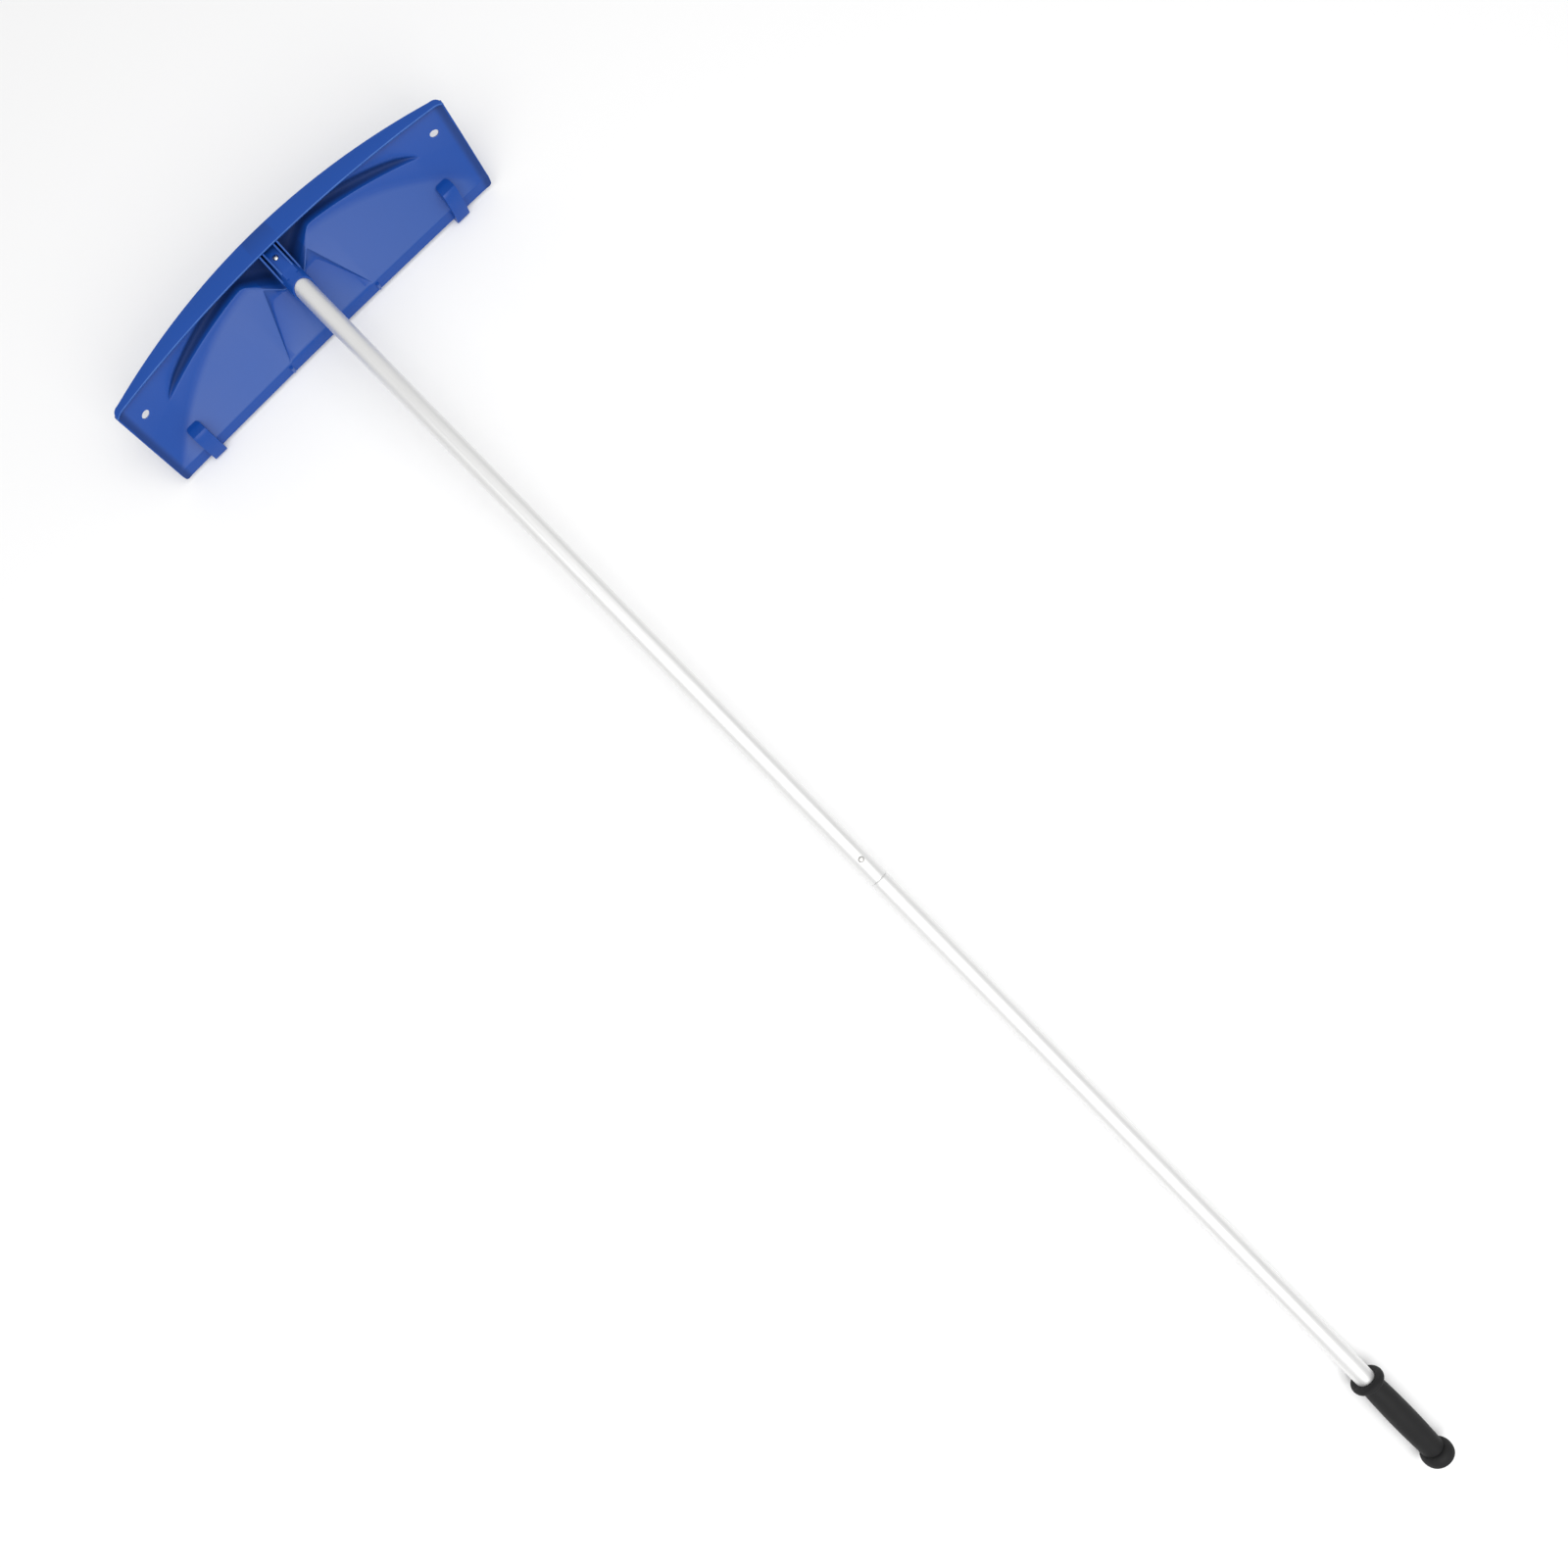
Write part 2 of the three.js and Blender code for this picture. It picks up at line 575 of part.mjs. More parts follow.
// A domed button with a rivet tail that goes through the clip's upper leg.
function springButton(bore, topZ, y) {
  const seat = bore - CLIP_SEAT + GAP;
  const under = bore - CLIP_SEAT - CLIP_STRIP - GAP;
  const radius = BUTTON_DIAMETER / 2;
  const rivet = RIVET_DIAMETER / 2;
  const profile = [
    [0, under - RIVET_HEAD],
    [rivet + RIVET_HEAD, under - RIVET_HEAD],
    [rivet + RIVET_HEAD, under],
    [rivet, under],
    [rivet, seat],
    [radius, seat],
  ];
  for (let i = 0; i <= 4; i++) {
    const angle = Math.PI * i / 8;
    profile.push([radius * Math.cos(angle), topZ - BUTTON_DOME * (1 - Math.sin(angle))]);
  }
  return turnedUpright(profile, y);
}

// ---------------------------------------------------------------- the rake

const plastic = () => new THREE.MeshStandardMaterial({ color: 0x2f5aa8, roughness: 0.42, metalness: 0 });
const aluminium = () => new THREE.MeshStandardMaterial({ color: 0xd9dadb, roughness: 0.35, metalness: 1 });
const rubber = () => new THREE.MeshStandardMaterial({ color: 0x252525, roughness: 0.75, metalness: 0 });
const springSteel = () => new THREE.MeshStandardMaterial({ color: 0x8a8d90, roughness: 0.4, metalness: 1 });
const nickel = () => new THREE.MeshStandardMaterial({ color: 0xc9cacc, roughness: 0.25, metalness: 1 });

const pieces = [
  ['blade', blade(), plastic()],
  ['head_tube', headTube(), aluminium()],
  ['handle_tube', handleTube(), aluminium()],
  ['grip', grip(), rubber()],
  ['head_spring_clip', springClip(tubeBore, HEAD_BUTTON_Y), springSteel()],
  ['head_button', springButton(tubeBore, padZ, HEAD_BUTTON_Y), nickel()],
  ['joint_spring_clip', springClip(swageBore, jointButtonY), springSteel()],
  ['joint_button', springButton(swageBore, tubeRadius + BUTTON_PROUD, jointButtonY), nickel()],
];

const rake = new THREE.Group();
rake.rotation.x = -restLean;
rake.position.z = -(soleY * Math.sin(-restLean) + soleZ * Math.cos(restLean));
for (const [name, solid, material] of pieces) {
  const mesh = new THREE.Mesh(toGeometry(solid), material);
  mesh.name = name;
  rake.add(mesh);
}

const extent = new THREE.Box3().setFromObject(rake, true);
rake.position.y = -(extent.min.y + extent.max.y) / 2;

const object = new THREE.Group();
object.add(rake);

export default object;
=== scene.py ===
import json
import math

import bmesh
import bpy
from bpy.props import FloatProperty, FloatVectorProperty, IntProperty, PointerProperty
from mathutils import Matrix, Vector


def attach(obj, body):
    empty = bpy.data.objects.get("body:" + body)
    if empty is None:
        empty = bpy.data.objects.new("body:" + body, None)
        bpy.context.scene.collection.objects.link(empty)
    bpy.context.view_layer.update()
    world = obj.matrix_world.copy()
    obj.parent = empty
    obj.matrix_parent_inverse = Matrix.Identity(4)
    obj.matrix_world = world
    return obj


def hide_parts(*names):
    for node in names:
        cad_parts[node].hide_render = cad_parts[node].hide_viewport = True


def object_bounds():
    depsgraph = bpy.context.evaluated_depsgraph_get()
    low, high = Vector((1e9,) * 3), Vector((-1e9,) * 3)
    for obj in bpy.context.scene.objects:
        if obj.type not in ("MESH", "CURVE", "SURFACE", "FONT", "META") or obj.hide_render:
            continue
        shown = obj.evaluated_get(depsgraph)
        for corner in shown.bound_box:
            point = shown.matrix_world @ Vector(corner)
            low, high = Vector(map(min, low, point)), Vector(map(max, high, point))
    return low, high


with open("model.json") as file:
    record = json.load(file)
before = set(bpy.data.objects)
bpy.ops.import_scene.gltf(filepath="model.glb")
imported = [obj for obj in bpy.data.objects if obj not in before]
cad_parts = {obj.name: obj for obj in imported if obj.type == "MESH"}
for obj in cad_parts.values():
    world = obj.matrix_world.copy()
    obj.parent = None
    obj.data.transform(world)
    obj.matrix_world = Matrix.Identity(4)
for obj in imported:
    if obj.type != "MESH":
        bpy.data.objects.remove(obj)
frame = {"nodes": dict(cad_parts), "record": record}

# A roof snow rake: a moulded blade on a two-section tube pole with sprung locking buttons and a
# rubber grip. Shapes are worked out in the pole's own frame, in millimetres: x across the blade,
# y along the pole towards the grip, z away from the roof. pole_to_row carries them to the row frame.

bl_info = {
    "name": "Roof snow rake",
    "version": (1, 0, 0),
    "blender": (4, 5, 0),
    "location": "View3D > Sidebar > Snow rake",
    "description": "Builds the visual model of a roof snow rake on its CAD frame",
    "category": "Object",
}

CAD_BOX = [list(corner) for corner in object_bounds()]
RAKE = "rake"
MM = 0.001


# ---------------------------------------------------------------- places taken from the frame

def mount(name):
    """One of the record's mounts."""
    return next(m for m in frame["record"]["mounts"] if m["name"] == name)


# ---------------------------------------------------------------- properties

def size_property(name, description, default, least=0.0):
    """A size in millimetres."""
    return FloatProperty(name=name, description=description, default=default, min=least)


def colour_property(name, description, default):
    """A colour."""
    return FloatVectorProperty(
        name=name, description=description, subtype="COLOR", size=3, min=0, max=1, default=default,
    )


class SnowRakeSizes(bpy.types.PropertyGroup):
    """Sizes of the rake, in millimetres unless a unit says otherwise."""

    tube_diameter: size_property("Tube diameter", "Outside of both pole sections", 28.6, 10)
    tube_wall: size_property("Tube wall", "Wall of both pole sections", 1.25, 0.3)
    head_section: size_property("Head section", "Length of the section in the blade", 1200, 200)
    handle_section: size_property("Handle section", "Length of the section with the grip", 1172, 200)
    swage_length: size_property("Reduced end", "Length that slides into the head section", 75, 10)
    swage_shoulder: size_property("Shoulder", "Length of the rounded step", 6, 1)
    socket_depth: size_property("Socket depth", "From the mouth's top to the tube's stop", 69, 10)
    mouth_y: size_property("Mouth", "Place of the mouth's top along the pole", 7.6)
    blade_width: size_property("Blade width", "Width at the bottom edge", 608, 200)
    wall: size_property("Blade wall", "Moulded wall along the draw direction", 3.2, 1)
    lock_play: size_property("Lock play", "Radial room round a button in the part it locks", 1.0)
    button_diameter: size_property("Button diameter", "Both buttons", 7, 2)
    grip_length: size_property("Grip length", "Rubber grip with its knob", 150, 50)
    facets: IntProperty(name="Facets", description="Facets of a turned piece", default=96, min=12)
    station_step: size_property("Station step", "Spacing of the blade's sections", 2.0, 0.5)


class SnowRakeColours(bpy.types.PropertyGroup):
    """Colours of the finishes."""

    plastic: colour_property("Plastic", "Moulded blade", (0.004, 0.062, 0.335))
    aluminium: colour_property("Aluminium", "Pole sections", (0.83, 0.83, 0.825))
    rubber: colour_property("Rubber", "Grip", (0.0075, 0.0075, 0.008))
    spring_steel: colour_property("Spring steel", "Leaf springs", (0.42, 0.42, 0.43))
    nickel: colour_property("Nickel", "Buttons", (0.80, 0.79, 0.76))
    floor: colour_property("Floor", "Studio floor", (0.95, 0.95, 0.95))


def sizes():
    """The sizes in the scene."""
    return bpy.context.scene.snow_rake_sizes


def colours():
    """The colours in the scene."""
    return bpy.context.scene.snow_rake_colours


# ---------------------------------------------------------------- the pole's frame

CLEARANCE = 0.3
SWAGE_PLAY = 0.3
SOCKET_PLAY = 0.35
SOCKET_WALL = 2.2
GRIP_END_WALL = 5
HEAD_BUTTON_Y = -34.0
JOINT_BUTTON_BACK = 37


def pole_marks():
    """Places along the pole's axis, in its own frame."""
    s = sizes()
    head_start = s.mouth_y - s.socket_depth + CLEARANCE
    seam = head_start + s.head_section
    handle_end = seam - s.swage_length + s.handle_section
    return {
        "head_start": head_start,
        "seam": seam,
        "joint_button": seam - JOINT_BUTTON_BACK,
        "swage_end": seam - s.swage_length,
        "handle_end": handle_end,
        "grip_end": handle_end + CLEARANCE + GRIP_END_WALL,
        "grip_start": handle_end + CLEARANCE + GRIP_END_WALL - s.grip_length,
    }


def pole_to_row():
    """Millimetres in the pole's frame to metres in the row frame."""
    end = mount("knob_end")
    along = Vector(end["axis"]).normalized()
    away = Vector((1, 0, 0)).cross(along)
    turn = Matrix((Vector((1, 0, 0)), along, away)).transposed().to_4x4()
    start = Vector(end["pos_m"]) - along * pole_marks()["grip_end"] * MM
    return Matrix.Translation(start) @ turn @ Matrix.Scale(MM, 4)


# ---------------------------------------------------------------- mesh helpers

def new_object(name, mesh):
    """A scene object for a mesh, at the origin."""
    obj = bpy.data.objects.new(name, mesh)
    bpy.context.scene.collection.objects.link(obj)
    return obj


def mesh_from(name, points, faces):
    """A mesh from lists of points and faces."""
    mesh = bpy.data.meshes.new(name)
    mesh.from_pydata(points, [], faces)
    mesh.validate()
    return mesh


def outward(mesh):
    """Merges doubles, turns every face outwards and cuts up faces with many corners."""
    work = bmesh.new()
    work.from_mesh(mesh)
    bmesh.ops.remove_doubles(work, verts=work.verts, dist=1e-6)
    bmesh.ops.recalc_face_normals(work, faces=work.faces)
    bmesh.ops.triangulate(work, faces=[f for f in work.faces if len(f.verts) > 4])
    work.to_mesh(mesh)
    work.free()


def applied(obj, name):
    """A plain mesh of the object with its modifiers, and the object without them."""
    bpy.context.view_layer.update()
    graph = bpy.context.evaluated_depsgraph_get()
    mesh = bpy.data.meshes.new_from_object(obj.evaluated_get(graph))
    mesh.name = name
    obj.modifiers.clear()
    old = obj.data
    obj.data = mesh
    if old.users == 0:
        bpy.data.meshes.remove(old)
    return mesh


def discard(obj):
    """Removes a helper object and its mesh."""
    mesh = obj.data
    bpy.data.objects.remove(obj)
    if mesh.users == 0:
        bpy.data.meshes.remove(mesh)


def smooth_by_angle(mesh, degrees):
    """Smooth faces with sharp edges above an angle."""
    mesh.polygons.foreach_set("use_smooth", [True] * len(mesh.polygons))
    mesh.set_sharp_from_angle(angle=math.radians(degrees))
    mesh.update()


def finish_piece(obj, material, slot_name, body, *nodes):
    """Material, body and the CAD nodes that a finished piece stands for; the slot name is not used."""
    if not obj.data.polygons:
        raise RuntimeError(f"{obj.name} has no faces")
    obj.data.materials.clear()
    obj.data.materials.append(material)
    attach(obj, body)
    if nodes:
        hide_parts(*nodes)


def mix(a, b, t):
    return a + (b - a) * t


def clamp(value, low, high):
    return max(low, min(high, value))


def curve_point(start, pull, end, t):
    """A point of a curve that leaves for the pull point and arrives from it."""
    return start * (1 - t) ** 2 + pull * 2 * t * (1 - t) + end * t ** 2


def smooth_step(t):
    t = clamp(t, 0.0, 1.0)
    return t * t * (3 - 2 * t)


def smooth_min(a, b, blend):
    return (a + b - math.sqrt((a - b) ** 2 + blend ** 2)) / 2


def smooth_max(a, b, blend):
    return -smooth_min(-a, -b, blend)


# ---------------------------------------------------------------- geometry node trees

def geometry_tree(name, inputs):
    """A geometry node tree with a Geometry input, named inputs and a Geometry output."""
    tree = bpy.data.node_groups.new(name, "GeometryNodeTree")
    tree.interface.new_socket("Geometry", in_out="INPUT", socket_type="NodeSocketGeometry")
    for label, kind in inputs:
        tree.interface.new_socket(label, in_out="INPUT", socket_type=kind)
    tree.interface.new_socket("Geometry", in_out="OUTPUT", socket_type="NodeSocketGeometry")
    return tree


def tree_maker(tree):
    """A function that adds a node with settings and connected or plain inputs."""
    def add(kind, settings=None, **links):
        node = tree.nodes.new(kind)
        for key, value in (settings or {}).items():
            setattr(node, key, value)
        for key, value in links.items():
            numbered = key[0] == "i" and key[1:].isdigit()
            socket = node.inputs[int(key[1:]) if numbered else key.replace("_", " ")]
            if isinstance(value, bpy.types.NodeSocket):
                tree.links.new(value, socket)
            else:
                socket.default_value = value
        return node
    return add


def close_tree(tree, add, geometry, material):
    """Ends a tree in Realize Instances and Set Material."""
    real = add("GeometryNodeRealizeInstances", None, Geometry=geometry)
    final = add("GeometryNodeSetMaterial", None, Geometry=real.outputs[0], Material=material)
    out = tree.nodes.new("NodeGroupOutput")
    tree.links.new(final.outputs[0], out.inputs[0])


def turned_tree():
    """Revolves a profile, given as points (radius, along, 0), about the Y axis."""
    tree = bpy.data.node_groups.get("Turned piece")
    if tree:
        return tree
    tree = geometry_tree("Turned piece", [
        ("Facets", "NodeSocketInt"), ("Rows", "NodeSocketInt"), ("Material", "NodeSocketMaterial"),
    ])
    add = tree_maker(tree)
    source = tree.nodes.new("NodeGroupInput")
    profile, facets, rows, material = (source.outputs[i] for i in range(4))
    around = add("ShaderNodeMath", {"operation": "ADD"}, i0=facets, i1=1.0)
    grid = add(
        "GeometryNodeMeshGrid", None, Size_X=1.0, Size_Y=1.0, Vertices_X=around.outputs[0],
        Vertices_Y=rows,
    )
    place = add("ShaderNodeSeparateXYZ", None, i0=add("GeometryNodeInputPosition").outputs[0])
    last = add("ShaderNodeMath", {"operation": "SUBTRACT"}, i0=rows, i1=1.0)
    share = add("ShaderNodeMath", {"operation": "ADD"}, i0=place.outputs[1], i1=0.5)
    row = add("ShaderNodeMath", {"operation": "MULTIPLY"}, i0=share.outputs[0], i1=last.outputs[0])
    whole = add("ShaderNodeMath", {"operation": "ROUND"}, i0=row.outputs[0])
    drawn = add(
        "GeometryNodeSampleIndex", {"data_type": "FLOAT_VECTOR", "domain": "POINT"}, Geometry=profile,
    )
    tree.links.new(add("GeometryNodeInputPosition").outputs[0], drawn.inputs["Value"])
    tree.links.new(whole.outputs[0], drawn.inputs["Index"])
    point = add("ShaderNodeSeparateXYZ", None, i0=drawn.outputs[0])
    turn = add(
        "ShaderNodeMath", {"operation": "MULTIPLY_ADD"}, i0=place.outputs[0], i1=math.tau, i2=math.pi,
    )
    cosine = add("ShaderNodeMath", {"operation": "COSINE"}, i0=turn.outputs[0])
    sine = add("ShaderNodeMath", {"operation": "SINE"}, i0=turn.outputs[0])
    across = add("ShaderNodeMath", {"operation": "MULTIPLY"}, i0=point.outputs[0], i1=sine.outputs[0])
    away = add("ShaderNodeMath", {"operation": "MULTIPLY"}, i0=point.outputs[0], i1=cosine.outputs[0])
    there = add("ShaderNodeCombineXYZ", None, i0=across.outputs[0], i1=point.outputs[1], i2=away.outputs[0])
    moved = add("GeometryNodeSetPosition", None, Geometry=grid.outputs[0], Position=there.outputs[0])
    joined = add("GeometryNodeMergeByDistance", None, Geometry=moved.outputs[0], Distance=1e-4)
    close_tree(tree, add, joined.outputs[0], material)
    return tree


def row_tree():
    """Copies a piece in an even row along X, centred on X = 0."""
    tree = bpy.data.node_groups.get("Even row")
    if tree:
        return tree
    tree = geometry_tree("Even row", [
        ("Count", "NodeSocketInt"), ("Spacing", "NodeSocketFloat"), ("Material", "NodeSocketMaterial"),
    ])
    add = tree_maker(tree)
    source = tree.nodes.new("NodeGroupInput")
    count, spacing = source.outputs["Count"], source.outputs["Spacing"]
    gaps = add("ShaderNodeMath", {"operation": "SUBTRACT"}, i0=count, i1=1.0)
    length = add("ShaderNodeMath", {"operation": "MULTIPLY"}, i0=gaps.outputs[0], i1=spacing)
    start = add("ShaderNodeMath", {"operation": "MULTIPLY"}, i0=length.outputs[0], i1=-0.5)
    first = add("ShaderNodeCombineXYZ", None, i0=start.outputs[0])
    step = add("ShaderNodeCombineXYZ", None, i0=spacing)
    line = add(
        "GeometryNodeMeshLine", {"mode": "OFFSET"}, Count=count, Start_Location=first.outputs[0],
        Offset=step.outputs[0],
    )
    copies = add("GeometryNodeInstanceOnPoints", None, Points=line.outputs[0], Instance=source.outputs[0])
    close_tree(tree, add, copies.outputs[0], source.outputs["Material"])
    return tree


def run_tree(obj, tree, values, name):
    """Puts a tree on an object with values by input name, and makes the result a plain mesh."""
    modifier = obj.modifiers.new(tree.name, "NODES")
    modifier.node_group = tree
    for item in tree.interface.items_tree:
        if item.item_type == "SOCKET" and item.in_out == "INPUT" and item.name in values:
            modifier[item.identifier] = values[item.name]
    return applied(obj, name)


def turned_object(name, profile, material, matrix, facets=None):
    """A closed turned piece about the pole's axis from a closed profile of (radius, along)."""
    mesh = mesh_from(name, [(radius, along, 0) for radius, along in profile], [])
    obj = new_object(name, mesh)
    values = {"Facets": facets or sizes().facets, "Rows": len(profile), "Material": material}
    run_tree(obj, turned_tree(), values, name)
    outward(obj.data)
    obj.data.transform(matrix)
    return obj


def upright(along):
    """Turns a piece about Y to stand along Z, at a place along the pole."""
    return Matrix.Translation((0, along, 0)) @ Matrix.Rotation(math.radians(90), 4, "X")


# ---------------------------------------------------------------- materials

def shader_group(name, inputs, outputs):
    """A shader node group with named float, vector or colour sockets."""
    group = bpy.data.node_groups.new(name, "ShaderNodeTree")
    for label, kind, value in inputs:
        socket = group.interface.new_socket(label, in_out="INPUT", socket_type=kind)
        if value is not None:
            socket.default_value = value
    for label, kind in outputs:
        group.interface.new_socket(label, in_out="OUTPUT", socket_type=kind)
    return group


def grain_group():
    """Fine moulded or blasted grain, and slow patchy variation."""
    group = bpy.data.node_groups.get("Surface grain")
    if group:
        return group
    group = shader_group("Surface grain", [
        ("Place", "NodeSocketVector", None),
        ("Grain scale", "NodeSocketFloat", 1500.0),
        ("Patch scale", "NodeSocketFloat", 9.0),
    ], [("Height", "NodeSocketFloat"), ("Patches", "NodeSocketFloat")])
    add = tree_maker(group)
    source = group.nodes.new("NodeGroupInput")
    out = group.nodes.new("NodeGroupOutput")
    fine = add(
        "ShaderNodeTexNoise", {"noise_dimensions": "3D"}, Vector=source.outputs[0],
        Scale=source.outputs[1], Detail=3.0, Roughness=0.6,
    )
    slow = add(
        "ShaderNodeTexNoise", {"noise_dimensions": "3D"}, Vector=source.outputs[0],
        Scale=source.outputs[2], Detail=4.0, Roughness=0.55,
    )
    group.links.new(fine.outputs["Fac"], out.inputs[0])
    group.links.new(slow.outputs["Fac"], out.inputs[1])
    return group


def scratch_group():
    """Fine lines drawn along the pole, and scattered handling scratches."""
    group = bpy.data.node_groups.get("Drawn lines")
    if group:
        return group
    group = shader_group("Drawn lines", [
        ("Place", "NodeSocketVector", None),
        ("Line density", "NodeSocketFloat", 900.0),
    ], [("Lines", "NodeSocketFloat"), ("Scratches", "NodeSocketFloat")])
    add = tree_maker(group)
    source = group.nodes.new("NodeGroupInput")
    out = group.nodes.new("NodeGroupOutput")
    long = add(
        "ShaderNodeVectorMath", {"operation": "MULTIPLY"}, i0=source.outputs[0], i1=(1.0, 0.012, 1.0),
    )
    lines = add(
        "ShaderNodeTexNoise", None, Vector=long.outputs[0], Scale=source.outputs[1], Detail=4.0,
        Roughness=0.65,
    )
    short = add(
        "ShaderNodeVectorMath", {"operation": "MULTIPLY"}, i0=source.outputs[0], i1=(1.0, 0.06, 1.0),
    )
    marks = add("ShaderNodeTexNoise", None, Vector=short.outputs[0], Scale=160.0, Detail=6.0, Roughness=0.7)
    sparse = add("ShaderNodeMapRange", None, Value=marks.outputs["Fac"], From_Min=0.60, From_Max=0.72)
    group.links.new(lines.outputs["Fac"], out.inputs[0])
    group.links.new(sparse.outputs[0], out.inputs[1])
    return group


def edge_highlight_group():
    """Painted edge highlight: a mask from a stored edge value, broken up by noise."""
    group = bpy.data.node_groups.get("Painted edge highlight")
    if group:
        return group
    group = shader_group("Painted edge highlight", [
        ("Place", "NodeSocketVector", None),
        ("Edge", "NodeSocketFloat", 0.0),
        ("Break up", "NodeSocketFloat", 60.0),
    ], [("Mask", "NodeSocketFloat")])
    add = tree_maker(group)
    source = group.nodes.new("NodeGroupInput")
    out = group.nodes.new("NodeGroupOutput")
    noise = add(
        "ShaderNodeTexNoise", None, Vector=source.outputs[0], Scale=source.outputs[2], Detail=5.0,
        Roughness=0.6,
    )
    painted_light_strength = add(
        "ShaderNodeMapRange", None, Value=noise.outputs["Fac"], From_Min=0.3, From_Max=0.7, To_Min=0.55,
        To_Max=1.0,
    )
    mask = add(
        "ShaderNodeMath", {"operation": "MULTIPLY", "use_clamp": True}, i0=source.outputs[1],
        i1=painted_light_strength.outputs[0],
    )
    group.links.new(mask.outputs[0], out.inputs[0])
    return group


def start_material(name):
    """A material with a Principled BSDF and object coordinates."""
    material = bpy.data.materials.get(name)
    if material:
        bpy.data.materials.remove(material)
    material = bpy.data.materials.new(name)
    material.use_nodes = True
    tree = material.node_tree
    tree.nodes.clear()
    add = tree_maker(tree)
    out = add("ShaderNodeOutputMaterial")
    shader = add("ShaderNodeBsdfPrincipled")
    tree.links.new(shader.outputs[0], out.inputs["Surface"])
    place = add("ShaderNodeTexCoord").outputs["Object"]
    return material, tree, add, shader, place


def use_group(tree, group, **links):
    """A shader group placed in a material."""
    node = tree.nodes.new("ShaderNodeGroup")
    node.node_tree = group
    for key, value in links.items():
        socket = node.inputs[key.replace("_", " ")]
        if isinstance(value, bpy.types.NodeSocket):
            tree.links.new(value, socket)
        else:
            socket.default_value = value
    return node


def tone(colour, factor):
    """A colour made lighter or darker."""
    return tuple(clamp(c * factor, 0, 1) for c in colour) + (1.0,)


def plastic_material():
    """Satin moulded polypropylene with a fine grain, painted highlights on the rounded edges, painted sheen
    on the lower faces and painted shade in the pockets, on the step walls and along the end rims.
    """
    base = tuple(colours().plastic)
    material, tree, add, shader, place = start_material("Moulded blue plastic")
    grain = use_group(tree, grain_group(), Place=place, Grain_scale=1100.0, Patch_scale=7.0)
    # The edge_line mask lightens the narrow faces of rounded convex edges: painted highlight.
    edge = add("ShaderNodeAttribute", {"attribute_name": "edge_line", "attribute_type": "GEOMETRY"})
    painted_highlight = use_group(tree, edge_highlight_group(), Place=place, Edge=edge.outputs["Fac"], Break_up=45.0)
    body = add("ShaderNodeMix", {"data_type": "RGBA"})
    tree.links.new(grain.outputs["Patches"], body.inputs["Factor"])
    body.inputs["A"].default_value = tone(base, 0.93)
    body.inputs["B"].default_value = tone(base, 1.07)
    # The hollow mask darkens the base colour towards a dark blue in the pockets, on the recess step walls
    # and along the end rims: painted shade.
    hollow = add("ShaderNodeAttribute", {"attribute_name": "hollow", "attribute_type": "GEOMETRY"})
    shaded = add("ShaderNodeMix", {"data_type": "RGBA"})
    # This mask pales the lower faces towards a grey blue: painted sheen.
    rubbed = add("ShaderNodeAttribute", {"attribute_name": "rubbed", "attribute_type": "GEOMETRY"})
    painted_light_strength = add("ShaderNodeMath", {"operation": "MULTIPLY"}, i0=rubbed.outputs["Fac"], i1=0.16)
    paler = add("ShaderNodeMix", {"data_type": "RGBA"})
    tree.links.new(painted_light_strength.outputs[0], paler.inputs["Factor"])
    tree.links.new(body.outputs["Result"], paler.inputs["A"])
    paler.inputs["B"].default_value = (0.16, 0.24, 0.46, 1.0)
    tree.links.new(hollow.outputs["Fac"], shaded.inputs["Factor"])
    tree.links.new(paler.outputs["Result"], shaded.inputs["A"])
    shaded.inputs["B"].default_value = tone(base, 0.42)
    # Painted edge highlight, mixed in towards a light blue.
    highlighted = add("ShaderNodeMix", {"data_type": "RGBA"})
    faint = add("ShaderNodeMath", {"operation": "MULTIPLY"}, i0=painted_highlight.outputs["Mask"], i1=0.55)
    tree.links.new(faint.outputs[0], highlighted.inputs["Factor"])
    tree.links.new(shaded.outputs["Result"], highlighted.inputs["A"])
    highlighted.inputs["B"].default_value = (0.085, 0.220, 0.58, 1.0)
    tree.links.new(highlighted.outputs["Result"], shader.inputs["Base Color"])
    rough = add(
        "ShaderNodeMapRange", None, Value=grain.outputs["Patches"], From_Min=0.3, From_Max=0.7,
        To_Min=0.30, To_Max=0.38,
    )
    dull = add(
        "ShaderNodeMath", {"operation": "MULTIPLY_ADD"}, i0=hollow.outputs["Fac"], i1=0.35,
        i2=rough.outputs[0],
    )
    tree.links.new(dull.outputs[0], shader.inputs["Roughness"])
    bump = add("ShaderNodeBump", None, Strength=0.12, Distance=0.0002, Height=grain.outputs["Height"])
    tree.links.new(bump.outputs[0], shader.inputs["Normal"])
    shader.inputs["IOR"].default_value = 1.5
    shader.inputs["Specular IOR Level"].default_value = 0.36
    return material


